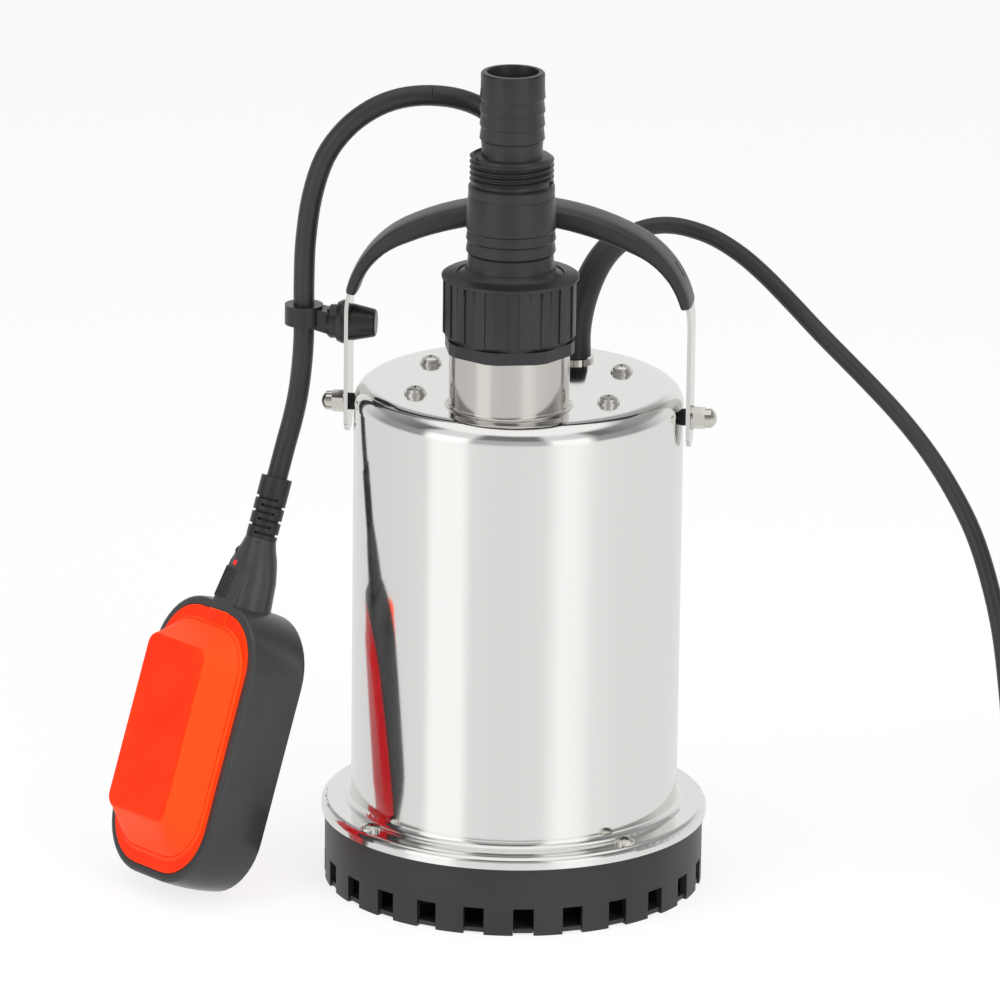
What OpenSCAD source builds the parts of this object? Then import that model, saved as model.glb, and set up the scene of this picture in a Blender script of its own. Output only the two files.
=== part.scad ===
// Submersible drain pump: stainless water jacket, strainer base, folding
// handle, stepped hose adapter, float switch on its clip and a 10 m mains lead.
// Millimetres, Z up. The floor is z = 0 and the motor axis is X = Y = 0.

/* [Strainer base] */
// How far the strainer ring reaches past the barrel
base_reach = 10.5; // [9:0.5:13]
// Wall of the strainer ring
base_wall = 2.8; // [2:0.1:3.6]
// Number of inlet slots round the ring
slot_count = 24; // [12:1:28]
// Width of an inlet slot
slot_w = 8.3; // [5:0.1:10]
// Height of the inlet slots above the floor
slot_h = 11.2; // [7:0.1:14]
// Thickness of the bottom plate
plate_t = 1.8; // [1.2:0.1:2.4]
// Height of the bottom plate's underside above the floor
plate_lift = 0.9; // [0.5:0.1:1.5]
// Diameter of the centre pad that reaches the floor
pad_d = 44; // [30:1:60]

/* [Casing] */
// Outer diameter of the stainless barrel
casing_d = 132; // [128:1:136]
// Thickness of the stainless sheet
sheet = 1.2; // [0.8:0.1:1.6]
// Height of the casing's top face above the floor
casing_top = 207; // [200:1:230]
// Outer radius where the barrel turns into the top
shoulder_r = 8; // [5:0.5:10]
// Outer radius of the fillet at the barrel's foot
foot_r = 3; // [2:0.5:4]
// Height of the flange's upper face
flange_top = 33; // [31:0.5:36]
// Depth of the rolled rim
rim_h = 4.8; // [3.5:0.1:6]
// Outer radius of the rolled rim's corner
rim_corner = 2.5; // [2:0.1:3]

/* [Outlet] */
// Outer diameter of the discharge tube
tube_d = 47.8; // [44:0.1:50]
// Wall of the discharge tube
tube_wall = 1.5; // [1:0.1:2.5]
// Distance from the motor axis forward to the tube's axis
tube_offset = 31.5; // [30:0.5:33]
// Height of the discharge tube above the casing
tube_h = 45; // [40:1:55]
// Diameter of the union nut over its grip
nut_d = 54.4; // [54:0.1:57]
// Height of the union nut's fluted grip
grip_h = 22; // [16:0.5:26]
// Height of the eight-sided lip under the grip
lip_h = 5; // [3:0.5:7]
// Number of flutes in the grip
flute_count = 18; // [12:1:24]
// Width of a flute
flute_w = 4.6; // [3:0.1:5]
// Depth of a flute
flute_depth = 0.6; // [0.3:0.1:1]
// Thickness of the seal under the adapter
seal_t = 2; // [1.5:0.1:3]

/* [Hose adapter] */
// Crest diameter of the large hose tail
large_tail_d = 35.5; // [34:0.1:38]
// Distance between two barbs of the large tail
large_pitch = 4.9; // [4:0.1:6]
// Outer diameter of the pipe thread's land
thread_d = 33.24; // [30:0.01:34]
// Length of the pipe thread's land
thread_l = 11.8; // [9:0.1:15]
// Crest diameter of the small hose tail
small_tail_d = 25.8; // [24:0.1:28]
// Distance between two barbs of the small tail
small_pitch = 5.5; // [4.5:0.1:6.5]
// Diameter of the land at the small tail's tip
tip_d = 25.2; // [24:0.1:25.4]
// Bore of the small tail
outlet_bore = 20.4; // [18:0.1:21]

/* [Handle] */
// Height of the handle's pivots below the casing's top
pivot_drop = 11; // [9:0.5:16]
// Width of the handle strap
strap_w = 16; // [13:0.5:18]
// Thickness of the handle strap
strap_t = 1.6; // [1.2:0.1:2]
// Length of the strap past its pivot
strap_end = 12; // [9:0.5:14]
// Height of the strap's crest above the pivots
handle_rise = 85; // [80:1:95]
// Radius of the handle's flat arch
arch_r = 104; // [95:1:115]
// Radius of the handle's two corners
corner_r = 40; // [34:1:44]
// Width of the handle's grip
grip_w = 20; // [19:0.5:23]
// Thickness of the grip above the strap
grip_up = 3.2; // [2.5:0.1:4]
// Depth of the grip below the strap
grip_down = 6.7; // [5:0.1:7]
// Depth of the grip below the strap at its two ends
grip_end_down = 2.2; // [1.8:0.1:4]
// Angle above the horizontal at which the grip ends
grip_end = 12.7; // [8:0.1:20]
// Thickness of the pivot spacers
spacer_t = 1.9; // [1.5:0.1:2.5]
// Diameter of the pivot studs
stud_d = 5; // [4:0.5:6]

/* [Cable clip] */
// Height of the clip's plug above the handle's pivots
clip_rise = 33; // [28:0.5:34]
// Diameter of the clip's stem in the strap
clip_stem_d = 8; // [6:0.5:9]
// Diameter of the clip's flange outside the strap
clip_flange_d = 17.6; // [15:0.1:20]
// Diameter of the clip's knob against the strap
knob_d = 14.8; // [12:0.1:16]
// Length of the clip's knob
knob_l = 10; // [8:0.1:12]

/* [Float] */
// Width of the float's frame
float_w = 70.5; // [66:0.5:74]
// Length of the float's frame
float_l = 116; // [110:1:118]
// Thickness of the float's frame
float_t = 27; // [22:0.5:29]
// Corner radius of the float's frame
float_corner = 26; // [20:0.5:28]
// Height of the front cover above the frame
cover_h = 13.6; // [10:0.1:16]
// Height of the rear cover above the frame
rear_cover_h = 6; // [4:0.5:14]
// Width of a cover's flat top
plateau_w = 39; // [30:1:44]
// Length of a cover's flat top
plateau_l = 70.7; // [60:0.1:74]
// Distance from the frame's end to the cover's flat top
plateau_top = 20; // [18:0.1:26]
// Width of the frame's rim round a cover
float_rim = 4.3; // [3:0.1:5]
// Width of a cover's flat ledge at its sides
ledge_side = 1.5; // [1:0.1:3]
// Width of a cover's flat ledge at its ends
ledge_end = 5; // [3:0.1:7]
// Wall of a cover
cover_wall = 2; // [1.5:0.1:3]
// Number of slits in the float's cable sleeve
sleeve_slits = 6; // [4:1:7]

/* [Motor and impeller] */
// Diameter of the motor shaft
shaft_d = 12; // [10:0.5:12.5]
// Outer diameter of the bearings
bearing_d = 32; // [28:1:35]
// Width of the bearings
bearing_w = 10; // [8:0.5:11]
// Diameter of the rotor
rotor_d = 53; // [48:0.5:56]
// Gap between the rotor and the stator
air_gap = 0.5; // [0.4:0.1:1]
// Length of the stator's laminations
stack_l = 50; // [40:1:52]
// Wall of the motor housing
housing_wall = 2.2; // [1.8:0.1:3]
// Radial gap of the water jacket round the motor
jacket_gap = 12.8; // [11:0.1:14]
// Diameter of the impeller
impeller_d = 80; // [70:1:90]
// Height of the impeller's vanes
vane_h = 9; // [7:0.5:10]
// Number of impeller vanes
vane_count = 6; // [4:1:8]
// Diameter of the suction eye
eye_d = 38; // [32:1:44]
// Height of the suction plate above the floor
intake_h = 14; // [12.6:0.1:15]

/* [Cables] */
// Diameter of the mains lead
lead_d = 7; // [5:0.1:7]
// Diameter of the float's cable
float_cable_d = 8.4; // [6:0.1:8.4]
// Distance between the turns of the stored coil
coil_pitch = 7.5; // [7.5:0.1:8]
// Radius of the coil's innermost turn
coil_in_r = 40.5; // [36:0.5:44]
// Number of turns in the coil
coil_turns = 23.5; // [23.5:1:23.5]

/* [Hidden] */
$fn = 64;

// How far cuts run past a face, the fits, and how much a strap thins in a bend
over = 1;
running = 0.06;
seat = 0.05;
loose = 0.2;
draw = 0.04;

// Strainer base
casing_r = casing_d / 2;
base_r = casing_r + base_reach;
base_in_r = base_r - base_wall;
plate_r = base_in_r - loose;
plate_top = plate_lift + plate_t;
slot_phase = 10.5;
tab_inset = 0.9;
screw_angles = [45, 135, 225, 315];
screw_ring_r = base_in_r - 1.2;
screw_d = 4;
boss_r = 4.6;
boss_h = 18;
base_chamfer = 1.5;
column_count = 6;
column_ring_r = 55;
column_r = 4;

// Casing
barrel_in_r = casing_r - sheet;
flange_r = base_r + 0.3 + sheet;
base_top = flange_top - sheet;
rim_bottom = flange_top - rim_h;

// Outlet
tube_r = tube_d / 2;
tube_top = casing_top + tube_h;
weld_r = 1.6;
nut_r = nut_d / 2;
nut_core_r = nut_r - 0.6;
nut_bore_r = tube_r + 0.2;
nut_wall_t = 3.6;
adapter_flange_t = 3.6;
adapter_z = tube_top + seal_t;
nut_roof_z = adapter_z + adapter_flange_t + 0.2;
nut_top = nut_roof_z + nut_wall_t;
grip_top = nut_top - 1.1;
grip_bottom = grip_top - grip_h - 0.8;
lip_chamfer = 2.4;
lip_bottom = grip_bottom - lip_chamfer - lip_h;
lip_flats = 2 * nut_bore_r + 1.6;
lip_turn = -8.9;
neck_r = nut_bore_r - 3.1;

// Hose adapter, from its flange up
root_large_r = large_tail_d / 2 - 0.6;
stem_large_r = large_tail_d / 2 - 0.85;
flare_r = neck_r - stem_large_r;
flare_top = nut_top + flare_r - 0.4;
barb_1 = flare_top + 5.5;
barb_land = 1.6;
taper_top = barb_1 + 2 * large_pitch + 12.1;
collar_r = large_tail_d / 2 - 0.7;
thread_z = taper_top + 4.6;
thread_top = thread_z + thread_l;
root_small_r = small_tail_d / 2 - 0.6;
stem_small_r = small_tail_d / 2 - 0.85;
barb_2 = thread_top + 7.1;
adapter_top = barb_2 + 3 * small_pitch + 10.1;
bore_r = outlet_bore / 2;
wide_bore_r = stem_large_r - 2.2;

// Glands in the casing's top
power_gland_at = [18, 38];
float_gland_at = [1, 37];
lead_r = lead_d / 2;
float_cable_r = float_cable_d / 2;
power_gland_r = lead_r + 1.5;
float_gland_r = float_cable_r + 1.5;
gland_reach = 9;
gland_depth = 13;
cable_depth = 7;
cable_gap = 0.12;
collar_t = 1.4;
collar_w = 2.4;

// Pump chamber and motor, from the base up
suction_t = 3;
eye_r = eye_d / 2;
suction_top = intake_h + suction_t;
chamber_r = barrel_in_r - 1.8;
chamber_wall = 3;
impeller_gap = 1;
impeller_z = suction_top + impeller_gap;
impeller_disc_t = 2.5;
impeller_top = impeller_z + vane_h + impeller_disc_t;
roof_z = impeller_top + 1.5;
roof_t = 3;
carrier_z = roof_z + roof_t;
carrier_t = 4;
motor_r = barrel_in_r - jacket_gap;
motor_in_r = motor_r - housing_wall;
motor_z = carrier_z + carrier_t;
head_space = 13.8;
cap_t = 4;
cap_top = casing_top - sheet - head_space;
motor_top = cap_top - cap_t;
spigot_h = 6;
spigot_wall = 2.8;
window_in_r = motor_r + 1.5;
window_out_r = chamber_r - chamber_wall - 0.5;
window_count = 6;
collar_h = 8;
seal_h = 3;
shaft_r = shaft_d / 2;
bearing_r = bearing_d / 2;
hub_wall = 3.5;
hub_r = bearing_r + hub_wall;
lip_seal_r = 11;
seal_bore_l = 16;
lower_bearing_z = carrier_z + seal_bore_l;
lower_hub_top = lower_bearing_z + bearing_w;
winding_l = 10.5;
stack_z = lower_hub_top + 1.5 + winding_l;
stack_top = stack_z + stack_l;
rotor_r = rotor_d / 2;
stator_in_r = rotor_r + air_gap;
stator_r = motor_in_r - 0.1;
stator_slots = 24;
upper_bearing_z = stack_top + winding_l + 9;
upper_bearing_top = upper_bearing_z + bearing_w;
bracket_top = upper_bearing_top + 2;
bracket_t = 4;
shaft_top = upper_bearing_top + 1;
stud_end_r = shaft_r - 2;
nut_t = 5.4;
nut_af = 13;
capacitor_r = 14;
capacitor_at = [-20, 10];
capacitor_l = 30;
block_at = [20, -14];
block_size = [24, 12, 12];
post_at = [38.65, 22.3];
post_r = 5;
tower_r = 8;

// Handle
pivot_z = casing_top - pivot_drop;
stud_r = stud_d / 2;
strap_in = casing_r + spacer_t + 0.1;
strap_out = strap_in + strap_t;
leg_x = strap_in + strap_t / 2;
crest_z = pivot_z + handle_rise;
arch_z = crest_z - arch_r;
corner_x = leg_x - corner_r;
corner_z = arch_z + sqrt(pow(arch_r - corner_r, 2) - pow(corner_x, 2));
corner_turn = atan2(corner_z - arch_z, corner_x);
grip_round = 3.5;
taper_in = corner_r - strap_t / 2 - grip_down + 0.1;
taper_out = corner_r - strap_t / 2 - grip_end_down;
taper_shift = (pow(taper_out, 2) - pow(taper_in, 2))
  / (2 * (taper_in - taper_out * cos(corner_turn - grip_end)));
grip_rib_t = 1.6;
grip_rib_angles = [-22.5, -15, -7.5, 0, 7.5, 15, 22.5];
grip_slot_angle = 56.6;
grip_slot_l = 7;
spacer_r = stud_r + 0.9;
bolt_head_r = stud_d + 0.5;
bolt_head_t = 2;
bolt_head_x = barrel_in_r - 0.4 - bolt_head_t;
washer_t = 0.8;
washer_x = strap_out + 0.05;
cap_nut_x = washer_x + washer_t;
cap_nut_af = 8;
cap_nut_h = 9.2;
cap_hex_h = 4.6;

// Cable clip: a loop round the float's cable, a neck and a plug through the strap
clip_z = pivot_z + clip_rise;
loop_at = [-87, 0];
loop_z = clip_z - 1.5;
loop_h = 8;
loop_r = 7.7;
loop_bore_r = float_cable_r + 0.15;
clip_gap = 0.2;
neck_w = 9.4;
neck_h = 9;

// Float: its own frame hangs from the sleeve, with z' along its length
float_at = [-108.64, -14.37, 112.84];
float_turn = [-19.8, -3.2, -46.3];
float_edge = 2;
float_wall = 6.5;
cover_seat = 1.5;
neck_at = [3, -2.25, 0];
neck_l = 28;
sleeve_l = 25;
sleeve_r = 6.3;
sleeve_core_r = 4.9;
sleeve_grip = 8;
slit_h = 1.1;
slit_hold = 3;
slit_turn = 50;
ledge_t = 0.4;
ledge_gap = 0.15;
switch_size = [22, 12, 30];
switch_hole_r = 1.6;
switch_hole_inset = 7;
ballast_r = 9;
ballast_l = 26;
ballast_bore_r = 5;
ballast_bore_depth = 4;

// Cable routes, as points of the centre line
power_route = [[18, 38, 200], [18, 38, 209], [18, 38, 217.5], [19, 39.3, 225.8], [21, 41.7, 234],
  [24, 45, 241.8], [27.7, 48.5, 248], [32.4, 51.8, 252.8], [38.2, 54.7, 256.2], [45, 56.9, 258.4],
  [52.5, 58.6, 259], [60.9, 59.6, 257.7], [71.2, 59.6, 254.3], [82.2, 58.5, 248.1],
  [92.7, 56.1, 240.2], [104, 51.5, 230.7], [117.3, 44.3, 219.7], [138, 32.3, 203.8],
  [151.7, 23, 192.9], [164, 13, 181.5], [174.5, 4, 169], [183.5, -4, 155], [190.5, -10.5, 138],
  [196, -15, 118], [199.5, -18, 96], [202, -20, 75], [205, -21.5, 55], [210, -23, 37],
  [218, -24.5, 21], [230, -25, 10.5], [246, -25.5, 6], [262, -25.5, 5], [283, -25.5, 5]];
rear_route = [[1, 37, 200], [1, 37, 209], [1, 37, 219], [2, 37, 236], [3, 35, 253], [3, 32, 270],
  [0, 28, 287], [-6, 24, 302], [-16, 18.6, 313], [-26, 13.8, 318.8], [-35.87, 10.55, 320.91],
  [-37.81, 10.05, 320.99]];
front_route = [[-38.19, 9.95, 321.01], [-40.13, 9.45, 321.05], [-50, 7, 320], [-61, 5, 315.5],
  [-71, 3.2, 307.5], [-79, 1.6, 296], [-84, 0.6, 280], [-86.4, 0, 262], [-87, 0, 246],
  [-87, 0, 231.65]];
lead_route = [[-87, 0, 231.35], [-87, 0, 226], [-87.1, 0.1, 220], [-87.9, 0.8, 209.5],
  [-89.4, 1.7, 198], [-91.6, 1.7, 187], [-94, 0.4, 177.3], [-96.03, -2.19, 168.25],
  [-97.07, -3.55, 163.56], [-98.64, -5.59, 156.51]];
plug_route = [[283, 141.75, 27.5], [273.5, 140.9, 28.3], [263, 137.9, 31], [253.5, 131.6, 35.7],
  [246.5, 122, 41], [242, 111.5, 46.1], [240.4, 101.5, 49.4], [240, 93.5, 50.5], [240, 82.5, 50.5]];
tube_sides = 10;

// Stored coil: four layers of six turns that spiral in and out
coil_at = [290, 60];
coil_bottom = 5;
coil_rings = 24;
coil_sides = 6;
half_layer = 6;
tie_t = 1.2;
tie_w = 8;
tie_angles = [60, 225, 330];
tie_gap = 0.3;
coil_out_r = coil_in_r + half_layer * coil_pitch;
coil_layers = 4;

// Plug, drawn along its own z from the lead to the pins
plug_at = [240, 92, 50.5];
plug_sleeve_l = 24;
plug_body_l = 28;
plug_face_r = 18.5;
pin_r = 2.4;
pin_l = 19;
pin_half = 9.5;

// A tube along points: rings square to the route, turned as little as possible
function unit(v) = v / norm(v);
function heading(p, i) = unit(p[min(i + 1, len(p) - 1)] - p[max(i - 1, 0)]);
function square_to(n, t) = unit(n - (n * t) * t);
function sides_of(p) = [
  for (i = 0, n = square_to([0.13, 0.37, 0.92], heading(p, 0)); i < len(p);
    i = i + 1, n = square_to(n, heading(p, min(i, len(p) - 1)))) n];
function ring_points(p, r, sides) = let (n = sides_of(p)) [
  for (i = [0 : len(p) - 1])
    let (t = heading(p, i), b = cross(t, n[i]))
      for (k = [0 : sides - 1])
        p[i] + r * (cos(360 * k / sides) * n[i] + sin(360 * k / sides) * b)];
function ring_faces(rings, sides) = concat(
  [[for (k = [sides - 1 : -1 : 0]) k]],
  [for (i = [0 : rings - 2]) for (k = [0 : sides - 1])
    let (a = i * sides + k, b = i * sides + (k + 1) % sides) [a, b, b + sides]],
  [for (i = [0 : rings - 2]) for (k = [0 : sides - 1])
    let (a = i * sides + k, b = i * sides + (k + 1) % sides) [a, b + sides, a + sides]],
  [[for (k = [0 : sides - 1]) (rings - 1) * sides + k]]);
module swept(p, r, sides) {
  polyhedron(points = ring_points(p, r, sides), faces = [for (f = ring_faces(len(p), sides))
    [for (k = [len(f) - 1 : -1 : 0]) f[k]]], convexity = 10);
}

// The coil's centre line, t in turns from the front
function coil_phase(t) = t - 2 * half_layer * floor(t / (2 * half_layer));
function coil_r(t) = coil_in_r + coil_pitch * abs(half_layer - coil_phase(t));
function climb(t, at) = min(max((t - at + 0.25) / 0.5, 0), 1);
function coil_z(t) = coil_bottom + coil_pitch
  * (climb(t, half_layer) + climb(t, 2 * half_layer) + climb(t, 3 * half_layer));
function coil_point(t) = [coil_at[0] + coil_r(t) * cos(360 * t - 90),
  coil_at[1] + coil_r(t) * sin(360 * t - 90), coil_z(t)];
function coil_wound() = [for (i = [0 : coil_turns * coil_rings]) coil_point(i / coil_rings)];
function coil_line() = let (w = coil_wound(), e = len(w) - 1) concat(
  [w[0] - [lead_d, 0, 0]], w, [w[e] - [lead_d, 0, 0]]);
function nearest(w, i) = min([for (j = [i + 12 : len(w) - 1]) norm(w[i] - w[j])]);
coil_check = coil_wound();
echo(coil_gap = min([for (i = [0 : 2 : len(coil_check) - 14]) nearest(coil_check, i)]) - lead_d);

module pipe(outer, inner, z0, z1) {
  difference() {
    translate([0, 0, z0]) cylinder(r = outer, h = z1 - z0);
    translate([0, 0, z0 - over]) cylinder(r = inner, h = z1 - z0 + 2 * over);
  }
}

module disc(r, z0, z1) {
  translate([0, 0, z0]) cylinder(r = r, h = z1 - z0);
}

// A pan head with a cross recess, its seat at z = 0
module pan_head(r, h) {
  difference() {
    intersection() {
      cylinder(r = r, h = h);
      translate([0, 0, h - 1.9 * r]) sphere(r = 1.9 * r);
    }
    for (turn = [0, 90])
      rotate([0, 0, turn]) translate([-0.55 * r, -0.4, 0.45 * h]) cube([1.1 * r, 0.8, h]);
  }
}

// A rectangle with round corners, its top edge at y = top
module rounded(w, l, r, top) {
  translate([-w / 2, top - l + r]) square([w, l - 2 * r]);
  translate([-w / 2 + r, top - l]) square([w - 2 * r, l]);
  for (x = [-w / 2 + r, w / 2 - r], y = [top - r, top - l + r])
    translate([x, y]) circle(r = r, $fn = 32);
}

// Slab of the float: a rounded outline across y', from y0 to y1
module slab(inset, y0, y1) {
  translate([0, y1, 0]) rotate([90, 0, 0]) linear_extrude(y1 - y0)
    rounded(float_w - 2 * inset, float_l - 2 * inset, float_corner - inset, -inset);
}

module on_float() {
  translate(float_at) rotate(float_turn) children();
}

// ---- strainer base ----
module base_outline() {
  polygon([[0, 0], [base_r, 0], [base_r, base_top - 1.6 * base_chamfer],
    [base_r - base_chamfer, base_top], [0, base_top]]);
}

module base_strainer() {
  color("#26272a") difference() {
    union() {
      difference() {
        rotate_extrude() base_outline();
        disc(base_in_r, -over, base_top + over);
      }
      pipe(base_r + 0.8, base_in_r, rim_bottom - 1.8, rim_bottom - 0.3);
      intersection() {
        rotate_extrude() base_outline();
        for (a = screw_angles)
          rotate([0, 0, a]) translate([screw_ring_r, 0, 0]) disc(boss_r, base_top - boss_h, base_top);
      }
    }
    for (i = [0 : slot_count - 1])
      rotate([0, 0, slot_phase + i * 360 / slot_count])
        translate([base_in_r - over, -slot_w / 2, -over])
          cube([base_wall + 2 * over, slot_w, slot_h + over]);
    for (a = screw_angles)
      rotate([0, 0, a]) translate([screw_ring_r, 0, 0])
        disc(screw_d / 2 + seat, base_top - boss_h - over, base_top + over);
  }
}

module base_plate() {
  color("#202124") {
    disc(plate_r, plate_lift, plate_top);
    disc(pad_d / 2, 0, plate_lift);
    for (i = [0 : slot_count - 1])
      rotate([0, 0, slot_phase + i * 360 / slot_count])
        translate([plate_r - 2, -slot_w / 2 + loose, plate_lift])
          cube([base_r - tab_inset - plate_r + 2, slot_w - 2 * loose, plate_t]);
    for (i = [0 : column_count - 1])
      rotate([0, 0, i * 360 / column_count]) translate([column_ring_r, 0, 0])
        disc(column_r, plate_top, intake_h);
  }
}

module base_screws() {
  color("silver") for (a = screw_angles)
    rotate([0, 0, a]) translate([screw_ring_r, 0, 0]) {
      translate([0, 0, flange_top]) pan_head(screw_d, 2.4);
      disc(screw_d / 2, base_top - boss_h + 2, flange_top);
    }
}

// ---- casing ----
module casing_form(inset, bottom) {
  r = casing_r - inset;
  top = casing_top - inset;
  shoulder = shoulder_r - inset;
  rim = flange_r - inset;
  rim_top = flange_top - inset;
  corner = rim_corner - inset;
  translate([0, bottom]) square([r, top - shoulder - bottom]);
  translate([0, bottom]) square([r - shoulder, top - bottom]);
  translate([r - shoulder, top - shoulder]) circle(r = shoulder);
  translate([0, bottom]) square([rim, rim_top - corner - bottom]);
  translate([0, bottom]) square([rim - corner, rim_top - bottom]);
  translate([rim - corner, rim_top - corner]) circle(r = corner);
  difference() {
    translate([0, bottom]) square([casing_r + foot_r, flange_top + foot_r - bottom]);
    translate([casing_r + foot_r, flange_top + foot_r]) circle(r = foot_r + inset);
  }
}

module at_posts() {
  for (x = [-1, 1], y = [-1, 1])
    translate([x * post_at[0], y * post_at[1], 0]) children();
}

module casing() {
  color("#c9ccd0") difference() {
    rotate_extrude() difference() {
      casing_form(0, rim_bottom);
      casing_form(sheet, rim_bottom - over);
    }
    translate([0, -tube_offset, 0]) disc(tube_r - tube_wall, casing_top - 2 * sheet, casing_top + over);
    translate(power_gland_at) disc(power_gland_r + loose, casing_top - 2 * sheet, casing_top + over);
    translate(float_gland_at) disc(float_gland_r + loose, casing_top - 2 * sheet, casing_top + over);
    at_posts() disc(screw_d / 2 + loose, casing_top - 2 * sheet, casing_top + over);
    for (a = screw_angles)
      rotate([0, 0, a]) translate([screw_ring_r, 0, 0])
        disc(screw_d / 2 + loose, base_top - over, flange_top + over);
    translate([-casing_r - over, 0, pivot_z]) rotate([0, 90, 0])
      cylinder(r = stud_r + seat, h = casing_d + 2 * over);
  }
}

module top_screws() {
  color("silver") at_posts() {
    disc(screw_d / 2, cap_top + 3, casing_top + 0.8);
    translate([0, 0, casing_top + 0.8]) pan_head(3.6, 2.3);
    pipe(4.5, screw_d / 2, casing_top, casing_top + 0.8);
  }
}

// ---- outlet ----
module discharge_tube() {
  color("#c9ccd0") translate([0, -tube_offset, 0]) rotate_extrude() {
    translate([tube_r - tube_wall, casing_top]) square([tube_wall, tube_h]);
    difference() {
      translate([tube_r - tube_wall, casing_top]) square([tube_wall + weld_r, weld_r]);
      translate([tube_r + weld_r, casing_top + weld_r]) circle(r = weld_r);
    }
  }
}

module union_nut() {
  color("#2b2c2e") translate([0, -tube_offset, 0]) difference() {
    union() {
      rotate_extrude() polygon([[0, grip_bottom - lip_chamfer],
        [lip_flats / 2, grip_bottom - lip_chamfer], [nut_core_r, grip_bottom],
        [nut_core_r, grip_top - 1], [nut_r, grip_top - 0.8], [nut_r, grip_top],
        [nut_r - 0.7, grip_top + 0.4], [neck_r + 0.4, nut_top], [0, nut_top]]);
      intersection() {
        rotate([0, 0, lip_turn]) translate([0, 0, lip_bottom])
          cylinder(r = lip_flats / 2 / cos(22.5), h = lip_h, $fn = 8);
        disc(lip_flats / 2 + 1.1, lip_bottom, grip_bottom);
      }
    }
    disc(nut_bore_r, lip_bottom - over, nut_roof_z);
    disc(neck_r + 0.15, nut_roof_z - over, nut_top + over);
    for (i = [0 : flute_count - 1])
      rotate([0, 0, i * 360 / flute_count])
        translate([nut_core_r - flute_depth, -flute_w / 2, grip_bottom - lip_chamfer])
          cube([flute_depth + over, flute_w, grip_top - grip_bottom + lip_chamfer - 1]);
  }
}

module union_seal() {
  color("#151515") translate([0, -tube_offset, 0])
    pipe(tube_r - 0.3, wide_bore_r + 3, tube_top, adapter_z);
}

// Saw-tooth barbs: each rises sharply under its crest and tapers to the next root
function barbs(z0, count, pitch, crest, root) = [
  for (i = [0 : count - 1]) for (q = [[root, z0 + i * pitch - 0.8], [crest, z0 + i * pitch]]) q];

module hose_adapter() {
  land = barb_1 + 2 * large_pitch - barb_land / 2;
  color("#2b2c2e") translate([0, -tube_offset, 0]) rotate_extrude() {
    difference() {
      polygon(concat(
        [[wide_bore_r, adapter_z], [nut_bore_r - 0.6, adapter_z],
          [nut_bore_r - 0.6, adapter_z + adapter_flange_t], [neck_r, adapter_z + adapter_flange_t],
          [neck_r, flare_top - flare_r], [stem_large_r, flare_top - flare_r],
          [stem_large_r, barb_1 - 1.2]],
        barbs(barb_1, 2, large_pitch, large_tail_d / 2, root_large_r),
        [[root_large_r, land - 0.6], [large_tail_d / 2, land],
          [large_tail_d / 2, land + barb_land], [root_large_r, taper_top],
          [root_large_r - 0.3, taper_top + 0.2], [root_large_r - 0.3, taper_top + 0.6],
          [collar_r, taper_top + 0.8], [collar_r, thread_z - 0.4],
          [thread_d / 2, thread_z], [thread_d / 2, thread_top - 2],
          [thread_d / 2 - 1.4, thread_top], [stem_small_r, thread_top],
          [stem_small_r, barb_2 - 3]],
        barbs(barb_2, 4, small_pitch, small_tail_d / 2, root_small_r),
        [[tip_d / 2, barb_2 + 3 * small_pitch + 4], [tip_d / 2, adapter_top - 0.6],
          [tip_d / 2 - 0.6, adapter_top], [bore_r, adapter_top],
          [bore_r, thread_z + 2], [wide_bore_r, thread_z - 8]]));
    }
    difference() {
      translate([stem_large_r - over, flare_top - flare_r]) square([flare_r + over, flare_r]);
      translate([neck_r, flare_top]) circle(r = flare_r);
    }
  }
}

// ---- glands ----
module gland(at, r, cable) {
  translate(at) rotate_extrude() difference() {
    polygon([[0, casing_top - gland_depth], [r, casing_top - gland_depth],
      [r, casing_top + gland_reach - 4], [r - 0.9, casing_top + gland_reach],
      [0, casing_top + gland_reach]]);
    translate([0, casing_top - cable_depth])
      square([cable + cable_gap, cable_depth + gland_reach + over]);
  }
}

module power_gland() {
  color("#1c1c1e") gland(power_gland_at, power_gland_r, lead_r);
}

module float_gland() {
  color("#1c1c1e") gland(float_gland_at, float_gland_r, float_cable_r);
}

module gland_collars() {
  color("silver") {
    translate(power_gland_at)
      pipe(power_gland_r + collar_w, power_gland_r + loose, casing_top, casing_top + collar_t);
    translate(float_gland_at)
      pipe(float_gland_r + collar_w, float_gland_r + loose, casing_top, casing_top + collar_t);
  }
}

// ---- motor ----
module motor_housing() {
  color("#b4b7bb") {
    pipe(motor_r, motor_in_r, motor_z, motor_top);
    pipe(motor_in_r + 0.5, motor_in_r - 2.5, bracket_top - bracket_t - 3, bracket_top - bracket_t);
  }
}

module motor_cap() {
  color("#3a3b3e") difference() {
    union() {
      disc(motor_r, motor_top, cap_top);
      pipe(motor_in_r - 0.1, motor_in_r - spigot_wall, motor_top - spigot_h, motor_top + over);
      at_posts() disc(post_r, motor_top + over, casing_top - sheet);
      translate(power_gland_at) disc(tower_r, motor_top + over, casing_top - sheet);
      translate(float_gland_at) disc(tower_r, motor_top + over, casing_top - sheet);
    }
    at_posts() disc(screw_d / 2 + seat, cap_top + 2, casing_top);
    translate(power_gland_at) {
      disc(power_gland_r + seat, casing_top - gland_depth, casing_top);
      disc(lead_r, motor_top - over, casing_top);
    }
    translate(float_gland_at) {
      disc(float_gland_r + seat, casing_top - gland_depth, casing_top);
      disc(float_cable_r, motor_top - over, casing_top);
    }
  }
}

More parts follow.
